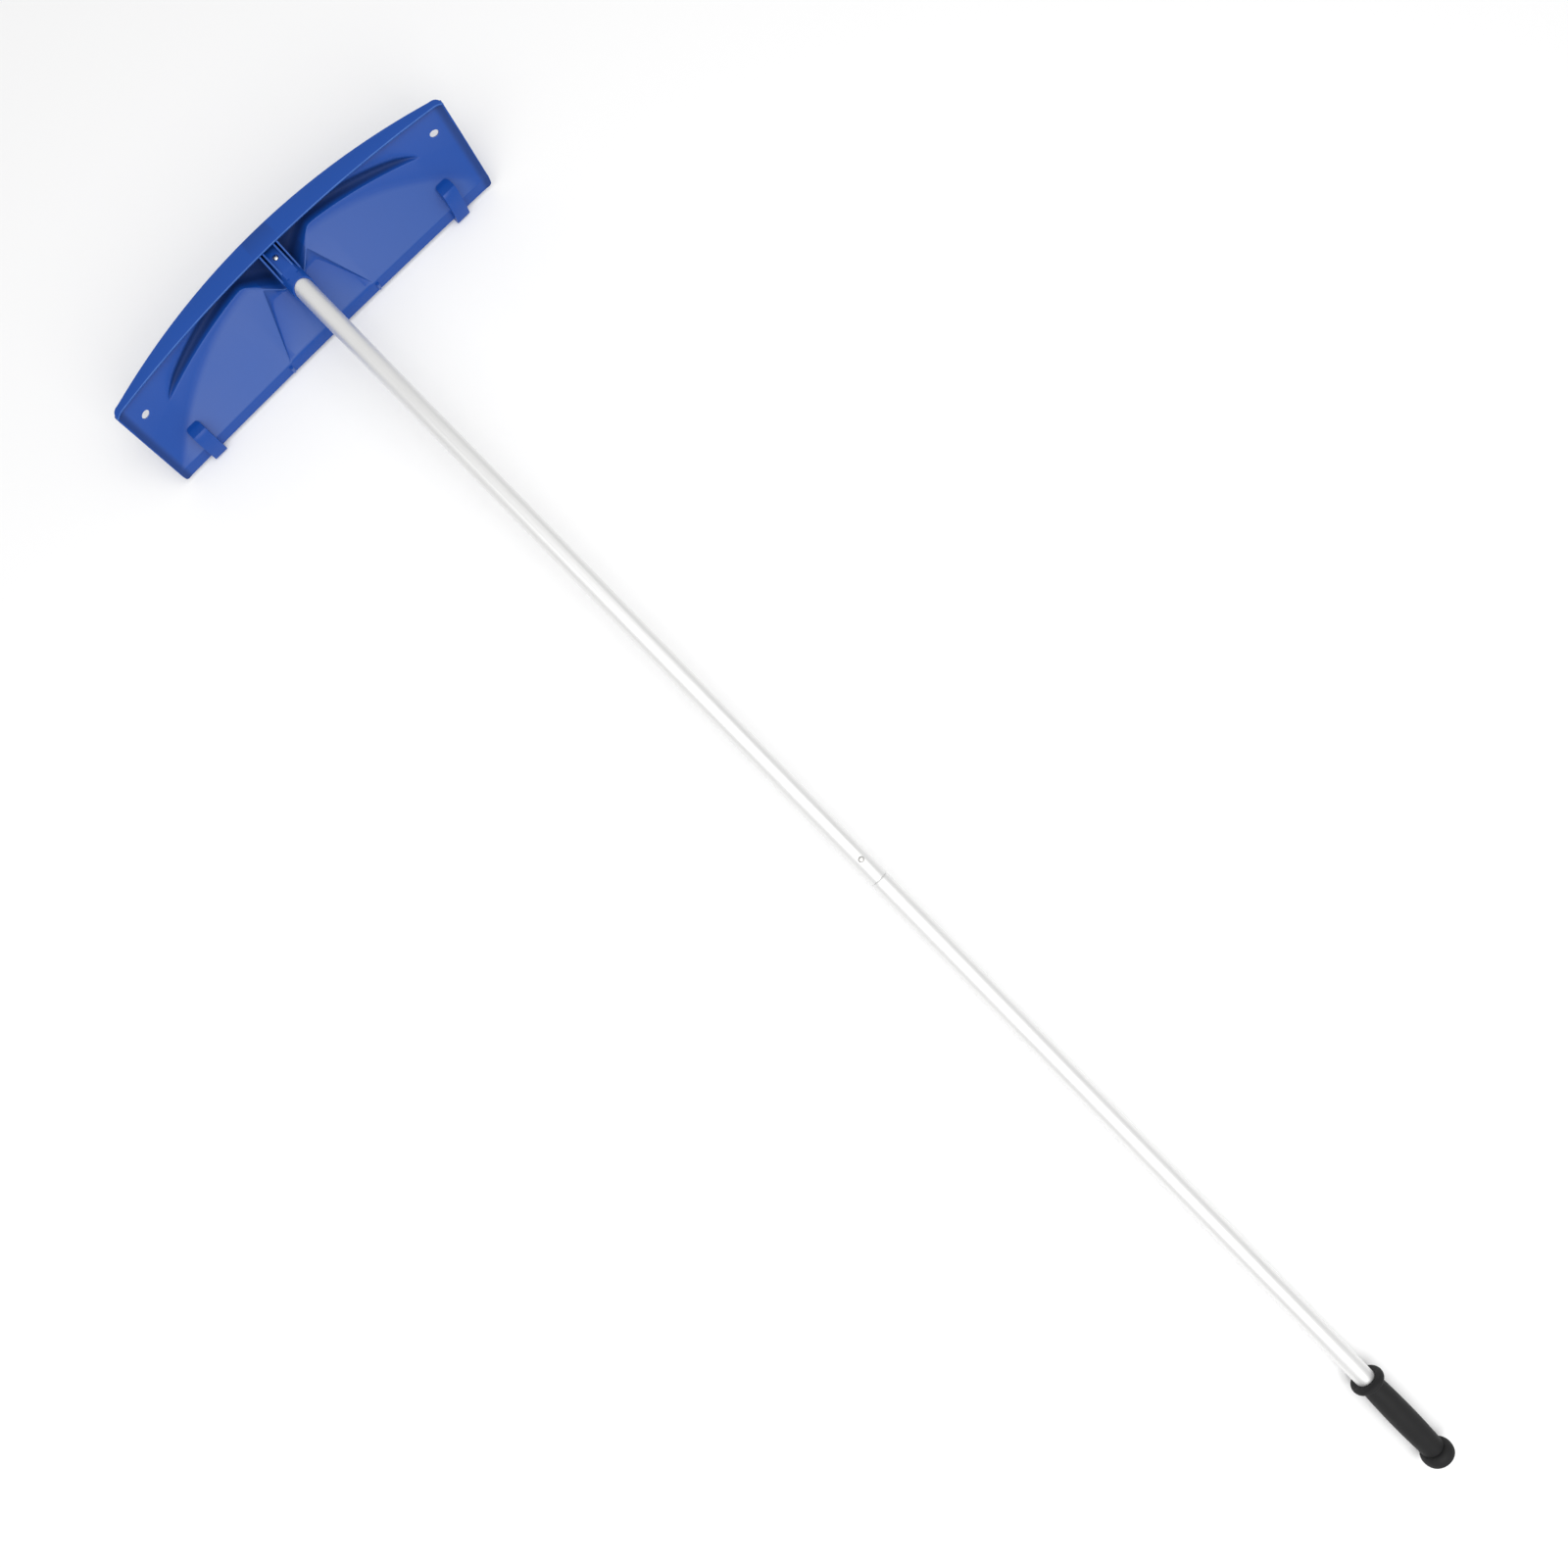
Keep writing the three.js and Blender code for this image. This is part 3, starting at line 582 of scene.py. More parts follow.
def aluminium_material():
    """Clear satin anodised tube with lines along its length."""
    base = tuple(colours().aluminium)
    material, tree, add, shader, place = start_material("Satin aluminium")
    drawn = use_group(tree, scratch_group(), Place=place, Line_density=900.0)
    grain = use_group(tree, grain_group(), Place=place, Grain_scale=2200.0, Patch_scale=5.0)
    body = add("ShaderNodeMix", {"data_type": "RGBA"})
    tree.links.new(drawn.outputs["Lines"], body.inputs["Factor"])
    body.inputs["A"].default_value = tone(base, 0.94)
    body.inputs["B"].default_value = tone(base, 1.04)
    marked = add("ShaderNodeMix", {"data_type": "RGBA"})
    faint = add("ShaderNodeMath", {"operation": "MULTIPLY"}, i0=drawn.outputs["Scratches"], i1=0.22)
    tree.links.new(faint.outputs[0], marked.inputs["Factor"])
    tree.links.new(body.outputs["Result"], marked.inputs["A"])
    marked.inputs["B"].default_value = tone(base, 0.72)
    tree.links.new(marked.outputs["Result"], shader.inputs["Base Color"])
    rough = add(
        "ShaderNodeMapRange", None, Value=grain.outputs["Patches"], From_Min=0.3, From_Max=0.7,
        To_Min=0.42, To_Max=0.50,
    )
    tree.links.new(rough.outputs[0], shader.inputs["Roughness"])
    bump = add("ShaderNodeBump", None, Strength=0.10, Distance=0.0001, Height=drawn.outputs["Lines"])
    tree.links.new(bump.outputs[0], shader.inputs["Normal"])
    shader.inputs["Metallic"].default_value = 0.8
    return material


def rubber_material():
    """Matt black rubber with a fine texture and a little dust."""
    base = tuple(colours().rubber)
    material, tree, add, shader, place = start_material("Black rubber")
    grain = use_group(tree, grain_group(), Place=place, Grain_scale=1700.0, Patch_scale=26.0)
    body = add("ShaderNodeMix", {"data_type": "RGBA"})
    tree.links.new(grain.outputs["Patches"], body.inputs["Factor"])
    body.inputs["A"].default_value = tone(base, 0.8)
    body.inputs["B"].default_value = tone(base, 1.35)
    tree.links.new(body.outputs["Result"], shader.inputs["Base Color"])
    rough = add(
        "ShaderNodeMapRange", None, Value=grain.outputs["Patches"], From_Min=0.3, From_Max=0.7,
        To_Min=0.60, To_Max=0.74,
    )
    tree.links.new(rough.outputs[0], shader.inputs["Roughness"])
    bump = add("ShaderNodeBump", None, Strength=0.25, Distance=0.0002, Height=grain.outputs["Height"])
    tree.links.new(bump.outputs[0], shader.inputs["Normal"])
    shader.inputs["Specular IOR Level"].default_value = 0.3
    return material


def steel_material(name, base, roughness, line_density):
    """Bare or plated steel with fine marks."""
    material, tree, add, shader, place = start_material(name)
    drawn = use_group(tree, scratch_group(), Place=place, Line_density=line_density)
    grain = use_group(tree, grain_group(), Place=place, Grain_scale=2600.0, Patch_scale=70.0)
    body = add("ShaderNodeMix", {"data_type": "RGBA"})
    tree.links.new(grain.outputs["Patches"], body.inputs["Factor"])
    body.inputs["A"].default_value = tone(base, 0.85)
    body.inputs["B"].default_value = tone(base, 1.1)
    tree.links.new(body.outputs["Result"], shader.inputs["Base Color"])
    rough = add(
        "ShaderNodeMapRange", None, Value=drawn.outputs["Lines"], From_Min=0.3, From_Max=0.7,
        To_Min=roughness * 0.8, To_Max=roughness * 1.2,
    )
    tree.links.new(rough.outputs[0], shader.inputs["Roughness"])
    bump = add("ShaderNodeBump", None, Strength=0.08, Distance=0.0001, Height=grain.outputs["Height"])
    tree.links.new(bump.outputs[0], shader.inputs["Normal"])
    shader.inputs["Metallic"].default_value = 1.0
    return material


def floor_material():
    """Pale seamless studio floor."""
    base = tuple(colours().floor)
    material, tree, add, shader, place = start_material("Studio floor")
    grain = use_group(tree, grain_group(), Place=place, Grain_scale=90.0, Patch_scale=0.8)
    body = add("ShaderNodeMix", {"data_type": "RGBA"})
    tree.links.new(grain.outputs["Patches"], body.inputs["Factor"])
    body.inputs["A"].default_value = tone(base, 0.985)
    body.inputs["B"].default_value = tone(base, 1.0)
    tree.links.new(body.outputs["Result"], shader.inputs["Base Color"])
    shader.inputs["Roughness"].default_value = 0.75
    return material


# ---------------------------------------------------------------- the blade's rule

WALL_ROWS, POCKET_FILLET_ROWS = 20, 7
EDGE_Y, EDGE_Z, EDGE_BOW, EDGE_CORNER = 46.5, -78.0, 3.2, 6.0
LIP_HEIGHT, LIP_LEAN = 17.0, math.radians(14)
FACE_LEAN, WALL_LEAN = math.radians(48), math.radians(37)
WALL_HOLLOW = 4.0
FLANGE_TOP, FLANGE_THICKNESS, FLANGE_CORNER = 29.0, 3.0, 14.0
FLANGE_INSET, FLANGE_ROUND, FLANGE_TURN, FLANGE_STEPS, CORNER_STEPS = 0.8, 1.0, 0.7, 120, 8
FLANGE_FRONT, FLANGE_FRONT_BOW = -43.7, 22.0
FLANGE_BACK, FLANGE_BACK_BOW = -73.3, 43.5
RIM_WIDTH, RIM_HEIGHT, END_SPLAY = 12.0, 5.0, 2.0
POCKET_END, POCKET_LOW_Z, POCKET_RISE, POCKET_LEAN = 238.0, -8.0, 43.2, 0.45
POCKET_CURVE, POCKET_SLOPE, POCKET_BLEND, POCKET_FADE, POCKET_ROUND = 0.55, 0.3, 5.0, 0.12, 9.0
RIDGE_Z, RIDGE_DROP = 13.5, 21.4
FOLD_Z, FOLD_DROP, FOLD_END = 9.5, 61.3, 279.0
VEE_SLOPE = 0.57
RECESS_TOP_X, RECESS_TOP_Z, RECESS_FOOT_X = 42.0, -3.0, 82.0
RECESS_DEPTH, RECESS_DEPTH_LOW, RECESS_FADE = 6.0, 2.0, 10.0
RECESS_SHOULDER_X, RECESS_SHOULDER_Z, RECESS_SLOPE = 49.2, -20.5, 1.28
FLANGE_UNDER = FLANGE_TOP - FLANGE_THICKNESS
LIP_Z = EDGE_Z + LIP_HEIGHT * math.cos(LIP_LEAN)
RUNNER_X, RUNNER_WIDTH, RUNNER_DROP, RUNNER_SOLE, RUNNER_REACH = 243.0, 22.5, 7.5, 12.0, 0.88
RUNNER_ROUND, RUNNER_END_STEPS = 1.8, 32
NUB_X, NUB_RADIUS, NUB_DROP = 85.5, 2.8, 2.0
RIB_THICKNESS, RIB_ROUND, INNER_RIB_X, RIB_ROOT = 2.4, 0.7, 9.9, 10.0
INNER_RIB_FRONT, OUTER_RIB_FRONT, PAD_HEIGHT = 23.0, 26.5, 1.2
HANG_HOLE_WIDTH, HANG_HOLE_HEIGHT, HANG_HOLE_X, HANG_HOLE_Z = 13.5, 8.2, 275.0, 3.0
HANG_HOLE_TURN = math.radians(12)
# Depth behind the plain wall over which the painted shade in the pockets reaches full strength.
PAINTED_SHADE_DEPTH = 9.0
LIP_ROUND, PANEL_ROUND, STEP_ROUND, FOLD_ROUND, RIDGE_ROUND = 5.0, 3.0, 1.2, 7.0, 1.3
BEND_STEPS, BEND_SHARE = 4, 0.45
BEVEL_SEGMENTS = 3
RIM_SHARES = (0.2, 0.4, 0.55, 0.7, 0.8, 0.88, 0.94, 0.98, 1.0)
RIM_BULGE = 0.2
MOUTH_LEAN = math.radians(27)


class BladeRule:
    """The curved wall of the blade, as sections across its width."""

    def __init__(self):
        s = sizes()
        self.half = s.blade_width / 2
        self.wide = self.half / 304
        self.wall = s.wall
        self.tube_radius = s.tube_diameter / 2
        self.socket_bore = self.tube_radius + SOCKET_PLAY
        self.socket_radius = self.socket_bore + SOCKET_WALL
        self.pad_z = self.socket_radius + PAD_HEIGHT
        self.lock_radius = s.button_diameter / 2 + s.lock_play
        self.foot_x = self.socket_radius + 2
        self.foot_z = -self.socket_radius + 4
        self.edge_fall = (RECESS_TOP_Z - LIP_Z) / (RECESS_FOOT_X - RECESS_TOP_X)

    def edge_y(self, x):
        return EDGE_Y - EDGE_BOW * (1 - (x / self.half) ** 2)

    def flange_front(self, x):
        return FLANGE_FRONT + FLANGE_FRONT_BOW * (x / self.half) ** 2

    def flange_back(self, x):
        return FLANGE_BACK + FLANGE_BACK_BOW * (x / self.half) ** 2

    def lip_y(self, x):
        return self.edge_y(x) - LIP_HEIGHT * math.sin(LIP_LEAN)

    def face_y(self, x, z):
        return self.lip_y(x) - math.tan(FACE_LEAN) * (z - LIP_Z)

    def fold_z(self, x):
        return smooth_max(FOLD_Z - FOLD_DROP * (x / (FOLD_END * self.wide)) ** 2.3, LIP_Z + 3, 3)

    def ridge_z(self, x):
        return RIDGE_Z - RIDGE_DROP * (x / (POCKET_END * self.wide)) ** 1.7

    def vee_z(self, x):
        return self.foot_z + VEE_SLOPE * max(x - self.foot_x, 0)

    def crease_z(self, x):
        return smooth_min(self.vee_z(x), self.ridge_z(x), 3)

    def face_edge_z(self, x):
        return RECESS_TOP_Z - (x - RECESS_TOP_X) * self.edge_fall

    def panel_edge_z(self, x):
        return smooth_min(self.foot_z - 1, RECESS_SHOULDER_Z - RECESS_SLOPE * (x - RECESS_SHOULDER_X), 5)

    def plain_wall_y(self, x, z):
        fold = self.fold_z(x)
        rise = clamp((z - fold) / (FLANGE_UNDER - fold), 0, 1)
        return self.face_y(x, fold) - math.tan(WALL_LEAN) * (z - fold) - WALL_HOLLOW * rise ** 2

    def wall_y(self, x, z):
        plain = self.plain_wall_y(x, z)
        share = 1 - x / (POCKET_END * self.wide)
        if share <= 0:
            return plain
        top = POCKET_LOW_Z + POCKET_RISE * share ** POCKET_CURVE
        slope = self.plain_wall_y(x, top) - POCKET_SLOPE * (top - z)
        back = self.flange_back(x) + self.wall + POCKET_LEAN * (FLANGE_UNDER - z)
        hollow = smooth_max(slope, back, POCKET_BLEND)
        return smooth_min(plain, hollow, POCKET_BLEND * min(share / POCKET_FADE, 1))

    def rim_turn(self, x):
        return RIM_HEIGHT * (max(abs(x) - self.half + RIM_WIDTH, 0) / RIM_WIDTH) ** 2

    def splayed(self, x, z):
        return x * (1 + END_SPLAY / self.half * (z - EDGE_Z) / (FLANGE_TOP - EDGE_Z))

    def corners(self, x):
        """Section corners as (y, z, rounding), from the bottom edge up, then the upper wall's rows."""
        across = abs(x)
        crease = self.crease_z(across)
        face_edge = min(self.face_edge_z(across), self.fold_z(across) - 1, crease - 2)
        low = max(min(self.panel_edge_z(across), face_edge - 1), LIP_Z + 1)
        high = max(face_edge, low + 1)
        fold = max(min(self.fold_z(across), crease - 1), high + 1)
        fade = clamp((RECESS_FOOT_X - across) / RECESS_FADE, 0, 1)
        depth = fade * mix(RECESS_DEPTH_LOW, RECESS_DEPTH, (low - LIP_Z) / (self.foot_z - LIP_Z))
        panel_y = self.face_y(across, low) - depth * math.cos(FACE_LEAN)
        crease_y = self.plain_wall_y(across, crease)
        shelf = max(crease_y - self.wall_y(across, crease), 0)
        back_z = crease + 1 - 0.2 * shelf
        from_end = max(across - (self.half - EDGE_CORNER), 0)
        corner = EDGE_CORNER - math.sqrt(EDGE_CORNER ** 2 - from_end ** 2)
        main = [
            (mix(self.edge_y(across), self.lip_y(across), corner / LIP_HEIGHT), EDGE_Z + corner, 0),
            (self.lip_y(across), LIP_Z, LIP_ROUND),
            (panel_y, low - depth * math.sin(FACE_LEAN), PANEL_ROUND),
            (self.face_y(across, high), high, STEP_ROUND),
            (self.face_y(across, fold), fold, FOLD_ROUND),
            (crease_y, crease, RIDGE_ROUND),
        ]
        corner_y = self.wall_y(across, back_z)
        round_off = min(POCKET_ROUND, 0.55 * math.hypot(shelf, 1 + 0.2 * shelf))
        inward = Vector((crease_y - corner_y, crease - back_z)).normalized() * round_off
        above = back_z + round_off * 0.9
        middle = Vector((corner_y, back_z))
        last = Vector((self.wall_y(across, above), above))
        upper = []
        for i in range(POCKET_FILLET_ROWS):
            p = curve_point(middle + inward, middle, last, i / POCKET_FILLET_ROWS)
            upper.append((p.x, p.y))
        for i in range(WALL_ROWS + 1):
            z = mix(above, FLANGE_UNDER + 1, i / WALL_ROWS)
            upper.append((self.wall_y(across, z), z))
        turn = self.rim_turn(across)
        lifted = lambda z: turn * mix(0.4, 1, (z - EDGE_Z) / (FLANGE_TOP - EDGE_Z))
        main = [(y + lifted(z), z, r) for y, z, r in main]
        upper = [(y + lifted(z), z) for y, z in upper]
        return main, upper

    def section(self, x):
        """Rounded section as (y, z), the same count of points at every place."""
        main, upper = self.corners(x)
        points = []
        path = [(y, z) for y, z, _ in main] + [upper[0]]
        bends = [r for _, _, r in main[1:]]
        first = Vector(path[0])
        second = Vector(path[1])
        for t in (0.0, 0.21, 0.42):
            p = first.lerp(second, t)
            points.append((p.x, p.y))
        for i, reach in enumerate(bends, start=1):
            here = Vector(path[i])
            before = Vector(path[i - 1]) - here
            after = Vector(path[i + 1]) - here
            into = min(reach, before.length * BEND_SHARE)
            out = min(reach, after.length * BEND_SHARE)
            a = here + before.normalized() * into
            b = here + after.normalized() * out
            for step in range(BEND_STEPS + 1):
                p = curve_point(a, here, b, step / BEND_STEPS)
                points.append((p.x, p.y))
        return points + upper

    def places(self):
        """Places of the sections across the blade."""
        step = sizes().station_step
        square = self.half - RIM_WIDTH
        count = max(int(round(square / step)), 8)
        right = [square * i / count for i in range(count + 1)]
        right += [square + RIM_WIDTH * share for share in RIM_SHARES]
        return [-x for x in reversed(right[1:])] + right


def blade_shell(rule):
    """The closed moulded wall with a rounded rim."""
    places = rule.places()
    shift = rule.wall * math.sqrt(0.5)
    bulge = rule.wall * RIM_BULGE
    last = len(places) - 1
    sections = [rule.section(x) for x in places]
    rows = len(sections[0])
    points = []
    index = {}

    def put(key, point):
        index[key] = len(points)
        points.append(point)

    def rim(i, j, push):
        """A point of the rim, midway between both sides of the wall."""
        front, back = (points[index[(side, i, j)]] for side in "fb")
        put(("m", i, j), [(p + q) / 2 + out for p, q, out in zip(front, back, push)])

    for i, x in enumerate(places):
        for j, (y, z) in enumerate(sections[i]):
            put(("f", i, j), (rule.splayed(x, z), y, z))
            put(("b", i, j), (rule.splayed(x, z), y - shift, z - shift))
    for i in range(len(places)):
        rim(i, 0, (0, bulge * 0.4, -bulge * 0.9))
        rim(i, rows - 1, (0, 0, 0))
    for j in range(1, rows - 1):
        rim(0, j, (-bulge, 0, 0))
        rim(last, j, (bulge, 0, 0))
    faces = []
    for i in range(last):
        for j in range(rows - 1):
            corners = [(i, j), (i, j + 1), (i + 1, j + 1), (i + 1, j)]
            faces.append([index[("f",) + c] for c in corners])
            faces.append([index[("b",) + c] for c in reversed(corners)])
    for i in range(last):
        for j in (0, rows - 1):
            faces += rim_quads(index, (i, j), (i + 1, j))
    for j in range(rows - 1):
        for i in (0, last):
            faces += rim_quads(index, (i, j), (i, j + 1))
    mesh = mesh_from("blade_shell", points, faces)
    outward(mesh)
    return new_object("blade_shell", mesh)


def rim_quads(index, here, ahead):
    """The two faces of the rim between neighbouring places."""
    near = [index[(side,) + here] for side in "fmb"]
    far = [index[(side,) + ahead] for side in "fmb"]
    return [[near[k], far[k], far[k + 1], near[k + 1]] for k in range(2)]


def prism_mesh(name, start, end):
    """A closed solid between two outlines with the same count of points."""
    count = len(start)
    faces = [list(range(count)), list(range(2 * count - 1, count - 1, -1))]
    faces += [[i, (i + 1) % count, count + (i + 1) % count, count + i] for i in range(count)]
    mesh = mesh_from(name, start + end, faces)
    outward(mesh)
    return mesh


def bevel_edges(work, edges, offset):
    """Rounds edges, and cuts up the faces that gain many corners."""
    bmesh.ops.bevel(
        work, geom=edges, offset=offset, segments=BEVEL_SEGMENTS, profile=0.5,
        affect="EDGES", clamp_overlap=True,
    )
    bmesh.ops.triangulate(work, faces=[f for f in work.faces if len(f.verts) > 4])


def slab_mesh(name, outline, width, rounding=0):
    """An outline of (y, z) points pushed out along X to both sides, with its long edges rounded."""
    half = width / 2
    mesh = prism_mesh(name, [(-half, y, z) for y, z in outline], [(half, y, z) for y, z in outline])
    if rounding > 0:
        work = bmesh.new()
        work.from_mesh(mesh)
        sharp = [e for e in work.edges if e.calc_face_angle(0) > math.radians(40)]
        bevel_edges(work, sharp, rounding)
        work.to_mesh(mesh)
        work.free()
    return mesh


def paired(name, mesh, spacing, material):
    """The same piece twice, evenly about X = 0."""
    obj = new_object(name, mesh)
    run_tree(obj, row_tree(), {"Count": 2, "Spacing": spacing, "Material": material}, name)
    return obj


def blade_flange(rule):
    """The top flange: an outline in plan with rounded edges."""
    end = rule.half + END_SPLAY - FLANGE_INSET
    square = end - FLANGE_CORNER
    back = rule.flange_back(square)

    def front(x):
        turn = rule.rim_turn(clamp(x, 1 - rule.half, rule.half - 1))
        return rule.flange_front(x) + FLANGE_TURN * turn

    outline = []
    for i in range(FLANGE_STEPS + 1):
        x = end * math.sin(math.pi * (i / FLANGE_STEPS - 0.5))
        outline.append((x, front(x)))
    corner = []
    for i in range(1, CORNER_STEPS + 1):
        t = i / CORNER_STEPS
        corner.append((end - FLANGE_CORNER * t ** 2, curve_point(front(end), back + 1, back, t)))
    outline += corner
    for i in range(1, FLANGE_STEPS):
        x = mix(square, -square, i / FLANGE_STEPS)
        outline.append((x, rule.flange_back(x)))
    outline += [(-x, y) for x, y in reversed(corner)]
    mesh = plan_prism("blade_flange", outline, FLANGE_UNDER, FLANGE_TOP)
    work = bmesh.new()
    work.from_mesh(mesh)
    flat = [e for e in work.edges if e.calc_face_angle(1) < 0.001]
    bmesh.ops.dissolve_limit(work, angle_limit=math.radians(0.1), verts=work.verts, edges=flat)
    level = [e for e in work.edges if abs(e.verts[0].co.z - e.verts[1].co.z) < 1e-6]
    bevel_edges(work, [e for e in level if e.calc_face_angle(0) > 1], FLANGE_ROUND)
    work.to_mesh(mesh)
    work.free()
    return new_object("blade_flange", mesh)


def runner_outline(rule):
    """Side view of a runner: it climbs the lower face and ends in a flat sole."""
    across = RUNNER_X * rule.wide
    sole_z = EDGE_Z - RUNNER_DROP
    sole_y = rule.edge_y(across) - 2
    lean = math.asin(-mount("knob_end")["axis"][2])
    along = math.tan(lean) * RUNNER_SOLE / 2
    top_z = mix(LIP_Z, rule.fold_z(across), RUNNER_REACH)
    top_y = rule.face_y(across, top_z)
    front, back = sole_y + RUNNER_SOLE / 2, sole_y - RUNNER_SOLE / 2
    return [
        (top_y - 1.5, top_z - 1),
        (top_y + 9, top_z + 2.2),
        (top_y + 20, top_z + 4),
        (top_y + 24, top_z + 1),
        (rule.lip_y(across) + 8.5, LIP_Z),
        (front + 3, sole_z + 4),
        (front, sole_z + along),
        (back, sole_z - along),
        (back - 3, sole_z + 3),
        (back - 3, EDGE_Z + 2),
        (rule.lip_y(across) - 1.5, LIP_Z - 1),
    ]


def plan_prism(name, outline, low, high):
    """An outline of (x, y) points pushed up along Z."""
    return prism_mesh(name, [(x, y, low) for x, y in outline], [(x, y, high) for x, y in outline])


def round_edges(mesh, offset, degrees):
    """Rounds the sharp edges of a solid whose flat faces may be cut up."""
    work = bmesh.new()
    work.from_mesh(mesh)
    bmesh.ops.remove_doubles(work, verts=work.verts, dist=1e-3)
    bmesh.ops.dissolve_limit(work, angle_limit=math.radians(1), verts=work.verts, edges=work.edges)
    sharp = [e for e in work.edges if e.is_manifold and e.calc_face_angle(0) > math.radians(degrees)]
    bevel_edges(work, sharp, offset)
    work.to_mesh(mesh)
    work.free()


def runner_mesh(rule):
    """One runner about X = 0, with a round upper end in plan."""
    outline = runner_outline(rule)
    side = new_object("runner", slab_mesh("runner", outline, RUNNER_WIDTH))
    end = RUNNER_WIDTH / 2
    middle = outline[0][0] + end
    far = rule.edge_y(RUNNER_X) + 40
    plan_outline = [(end, far), (-end, far)]
    for i in range(RUNNER_END_STEPS + 1):
        angle = math.pi * i / RUNNER_END_STEPS
        plan_outline.append((-end * math.cos(angle), middle - end * math.sin(angle)))
    foot_outline = [(end, far), (-end, far), (-end, -far), (end, -far)]
    sole = EDGE_Z - RUNNER_DROP
    plan = new_object("runner_plan", plan_prism("runner_plan", plan_outline, LIP_Z, EDGE_Z + 2 * far))
    foot = new_object("runner_foot", plan_prism("runner_foot", foot_outline, sole - 2, LIP_Z + 0.01))
    combine(plan, [foot], "UNION")
    combine(side, [plan], "INTERSECT")
    mesh = side.data.copy()
    discard(side)
    round_edges(mesh, RUNNER_ROUND, 30)
    return mesh


def rib_outline(rule, front_y, front_z):
    """Side view of a rib between the socket and the flange."""
    root = rule.flange_front(0) - RIB_ROOT
    top = FLANGE_UNDER + 0.5
    return [(root, 0), (front_y, 0), (front_y, front_z), (rule.flange_front(0), top), (root, top)]


def combine(target, others, operation):
    """Unites or subtracts other closed solids, then removes them."""
    for other in others:
        modifier = target.modifiers.new(other.name, "BOOLEAN")
        modifier.operation = operation
        modifier.solver = "MANIFOLD"
        modifier.object = other
    applied(target, target.name)
    for other in others:
        discard(other)


def socket_parts(rule, material):
    """The socket's barrel, its pad and the four ribs up to the flange."""
    s = sizes()
    r = rule.socket_radius
    inner_front = HEAD_BUTTON_Y + INNER_RIB_FRONT
    outer_front = HEAD_BUTTON_Y + OUTER_RIB_FRONT
    root = rule.flange_front(0) - RIB_ROOT
    back = s.mouth_y - s.socket_depth - SOCKET_WALL
    front = s.mouth_y + 2 * r * math.tan(MOUTH_LEAN)
    barrel = [(0, back), (r - 2, back), (r - 0.6, back + 0.6), (r, back + 2), (r, front), (0, front)]
    pad_outline = [
        (root, 0), (inner_front + 9, 0), (inner_front + 9, r - 0.9), (inner_front - 1, rule.pad_z - 0.35),
        (inner_front - 5, rule.pad_z), (root, rule.pad_z),
    ]
    inner = rib_outline(rule, inner_front, rule.pad_z + 0.6)
    outer = rib_outline(rule, outer_front, r / 2)
    inner_mesh = slab_mesh("inner_ribs", inner, RIB_THICKNESS, RIB_ROUND)
    outer_mesh = slab_mesh("outer_ribs", outer, RIB_THICKNESS, RIB_ROUND)
    return [
        turned_object("socket", barrel, material, Matrix()),
        new_object("pad", slab_mesh("pad", pad_outline, 2 * INNER_RIB_X)),
        paired("inner_ribs", inner_mesh, 2 * INNER_RIB_X, material),
        paired("outer_ribs", outer_mesh, 2 * (r - 1), material),
    ]


def edge_parts(rule, material):
    """The runners and the nubs at the bottom edge."""
    low, high = EDGE_Z - NUB_DROP, mix(EDGE_Z, LIP_Z, 0.7)
    profile = [
        (0, low), (NUB_RADIUS * 0.6, low), (NUB_RADIUS * 0.9, low + 0.6), (NUB_RADIUS, low + 1.6),
        (NUB_RADIUS, high), (0, high),
    ]
    nub = turned_object("nub", profile, material, upright(rule.edge_y(NUB_X) - 2), 32)
    nub_mesh = nub.data.copy()
    discard(nub)
    return [
        paired("runners", runner_mesh(rule), 2 * RUNNER_X * rule.wide, material),
        paired("nubs", nub_mesh, 2 * NUB_X, material),
    ]


def pole_cuts(rule, material):
    """The socket's bore, its slanted mouth and the lock hole through the pad."""
    s = sizes()
    stop = s.mouth_y - s.socket_depth
    far = EDGE_Y * 2
    reach = rule.socket_radius + 1
    bore = [(0, stop), (rule.socket_bore, stop), (rule.socket_bore, far), (0, far)]
    high_y, low_y = (s.mouth_y + math.tan(MOUTH_LEAN) * (rule.tube_radius - z) for z in (reach, -reach))
    mouth = [(high_y, reach), (low_y, -reach), (far, -reach), (far, reach)]
    top = rule.pad_z + 4
    lock = [(0, 0), (rule.lock_radius, 0), (rule.lock_radius, top), (0, top)]
    return [
        turned_object("bore", bore, material, Matrix()),
        new_object("mouth", slab_mesh("mouth", mouth, 2 * reach)),
        turned_object("lock_hole", lock, material, upright(HEAD_BUTTON_Y), 48),
    ]


def hang_holes(rule, material):
    """The two oval holes near the ends, square to the wall."""
    x = HANG_HOLE_X * rule.wide
    radius = HANG_HOLE_WIDTH / 2
    profile = [(0, -20), (radius, -20), (radius, 20), (0, 20)]
    lean = Matrix.Rotation(WALL_LEAN, 4, "X")
    oval = Matrix.Diagonal((1, 1, HANG_HOLE_HEIGHT / HANG_HOLE_WIDTH, 1))
    holes = []
    for side in (-1, 1):
        place = Matrix.Translation((side * x, rule.wall_y(x, HANG_HOLE_Z), HANG_HOLE_Z))
        turned = place @ lean @ Matrix.Rotation(side * HANG_HOLE_TURN, 4, "Y") @ oval
        holes.append(turned_object("hang_hole", profile, material, turned, 64))
    return holes


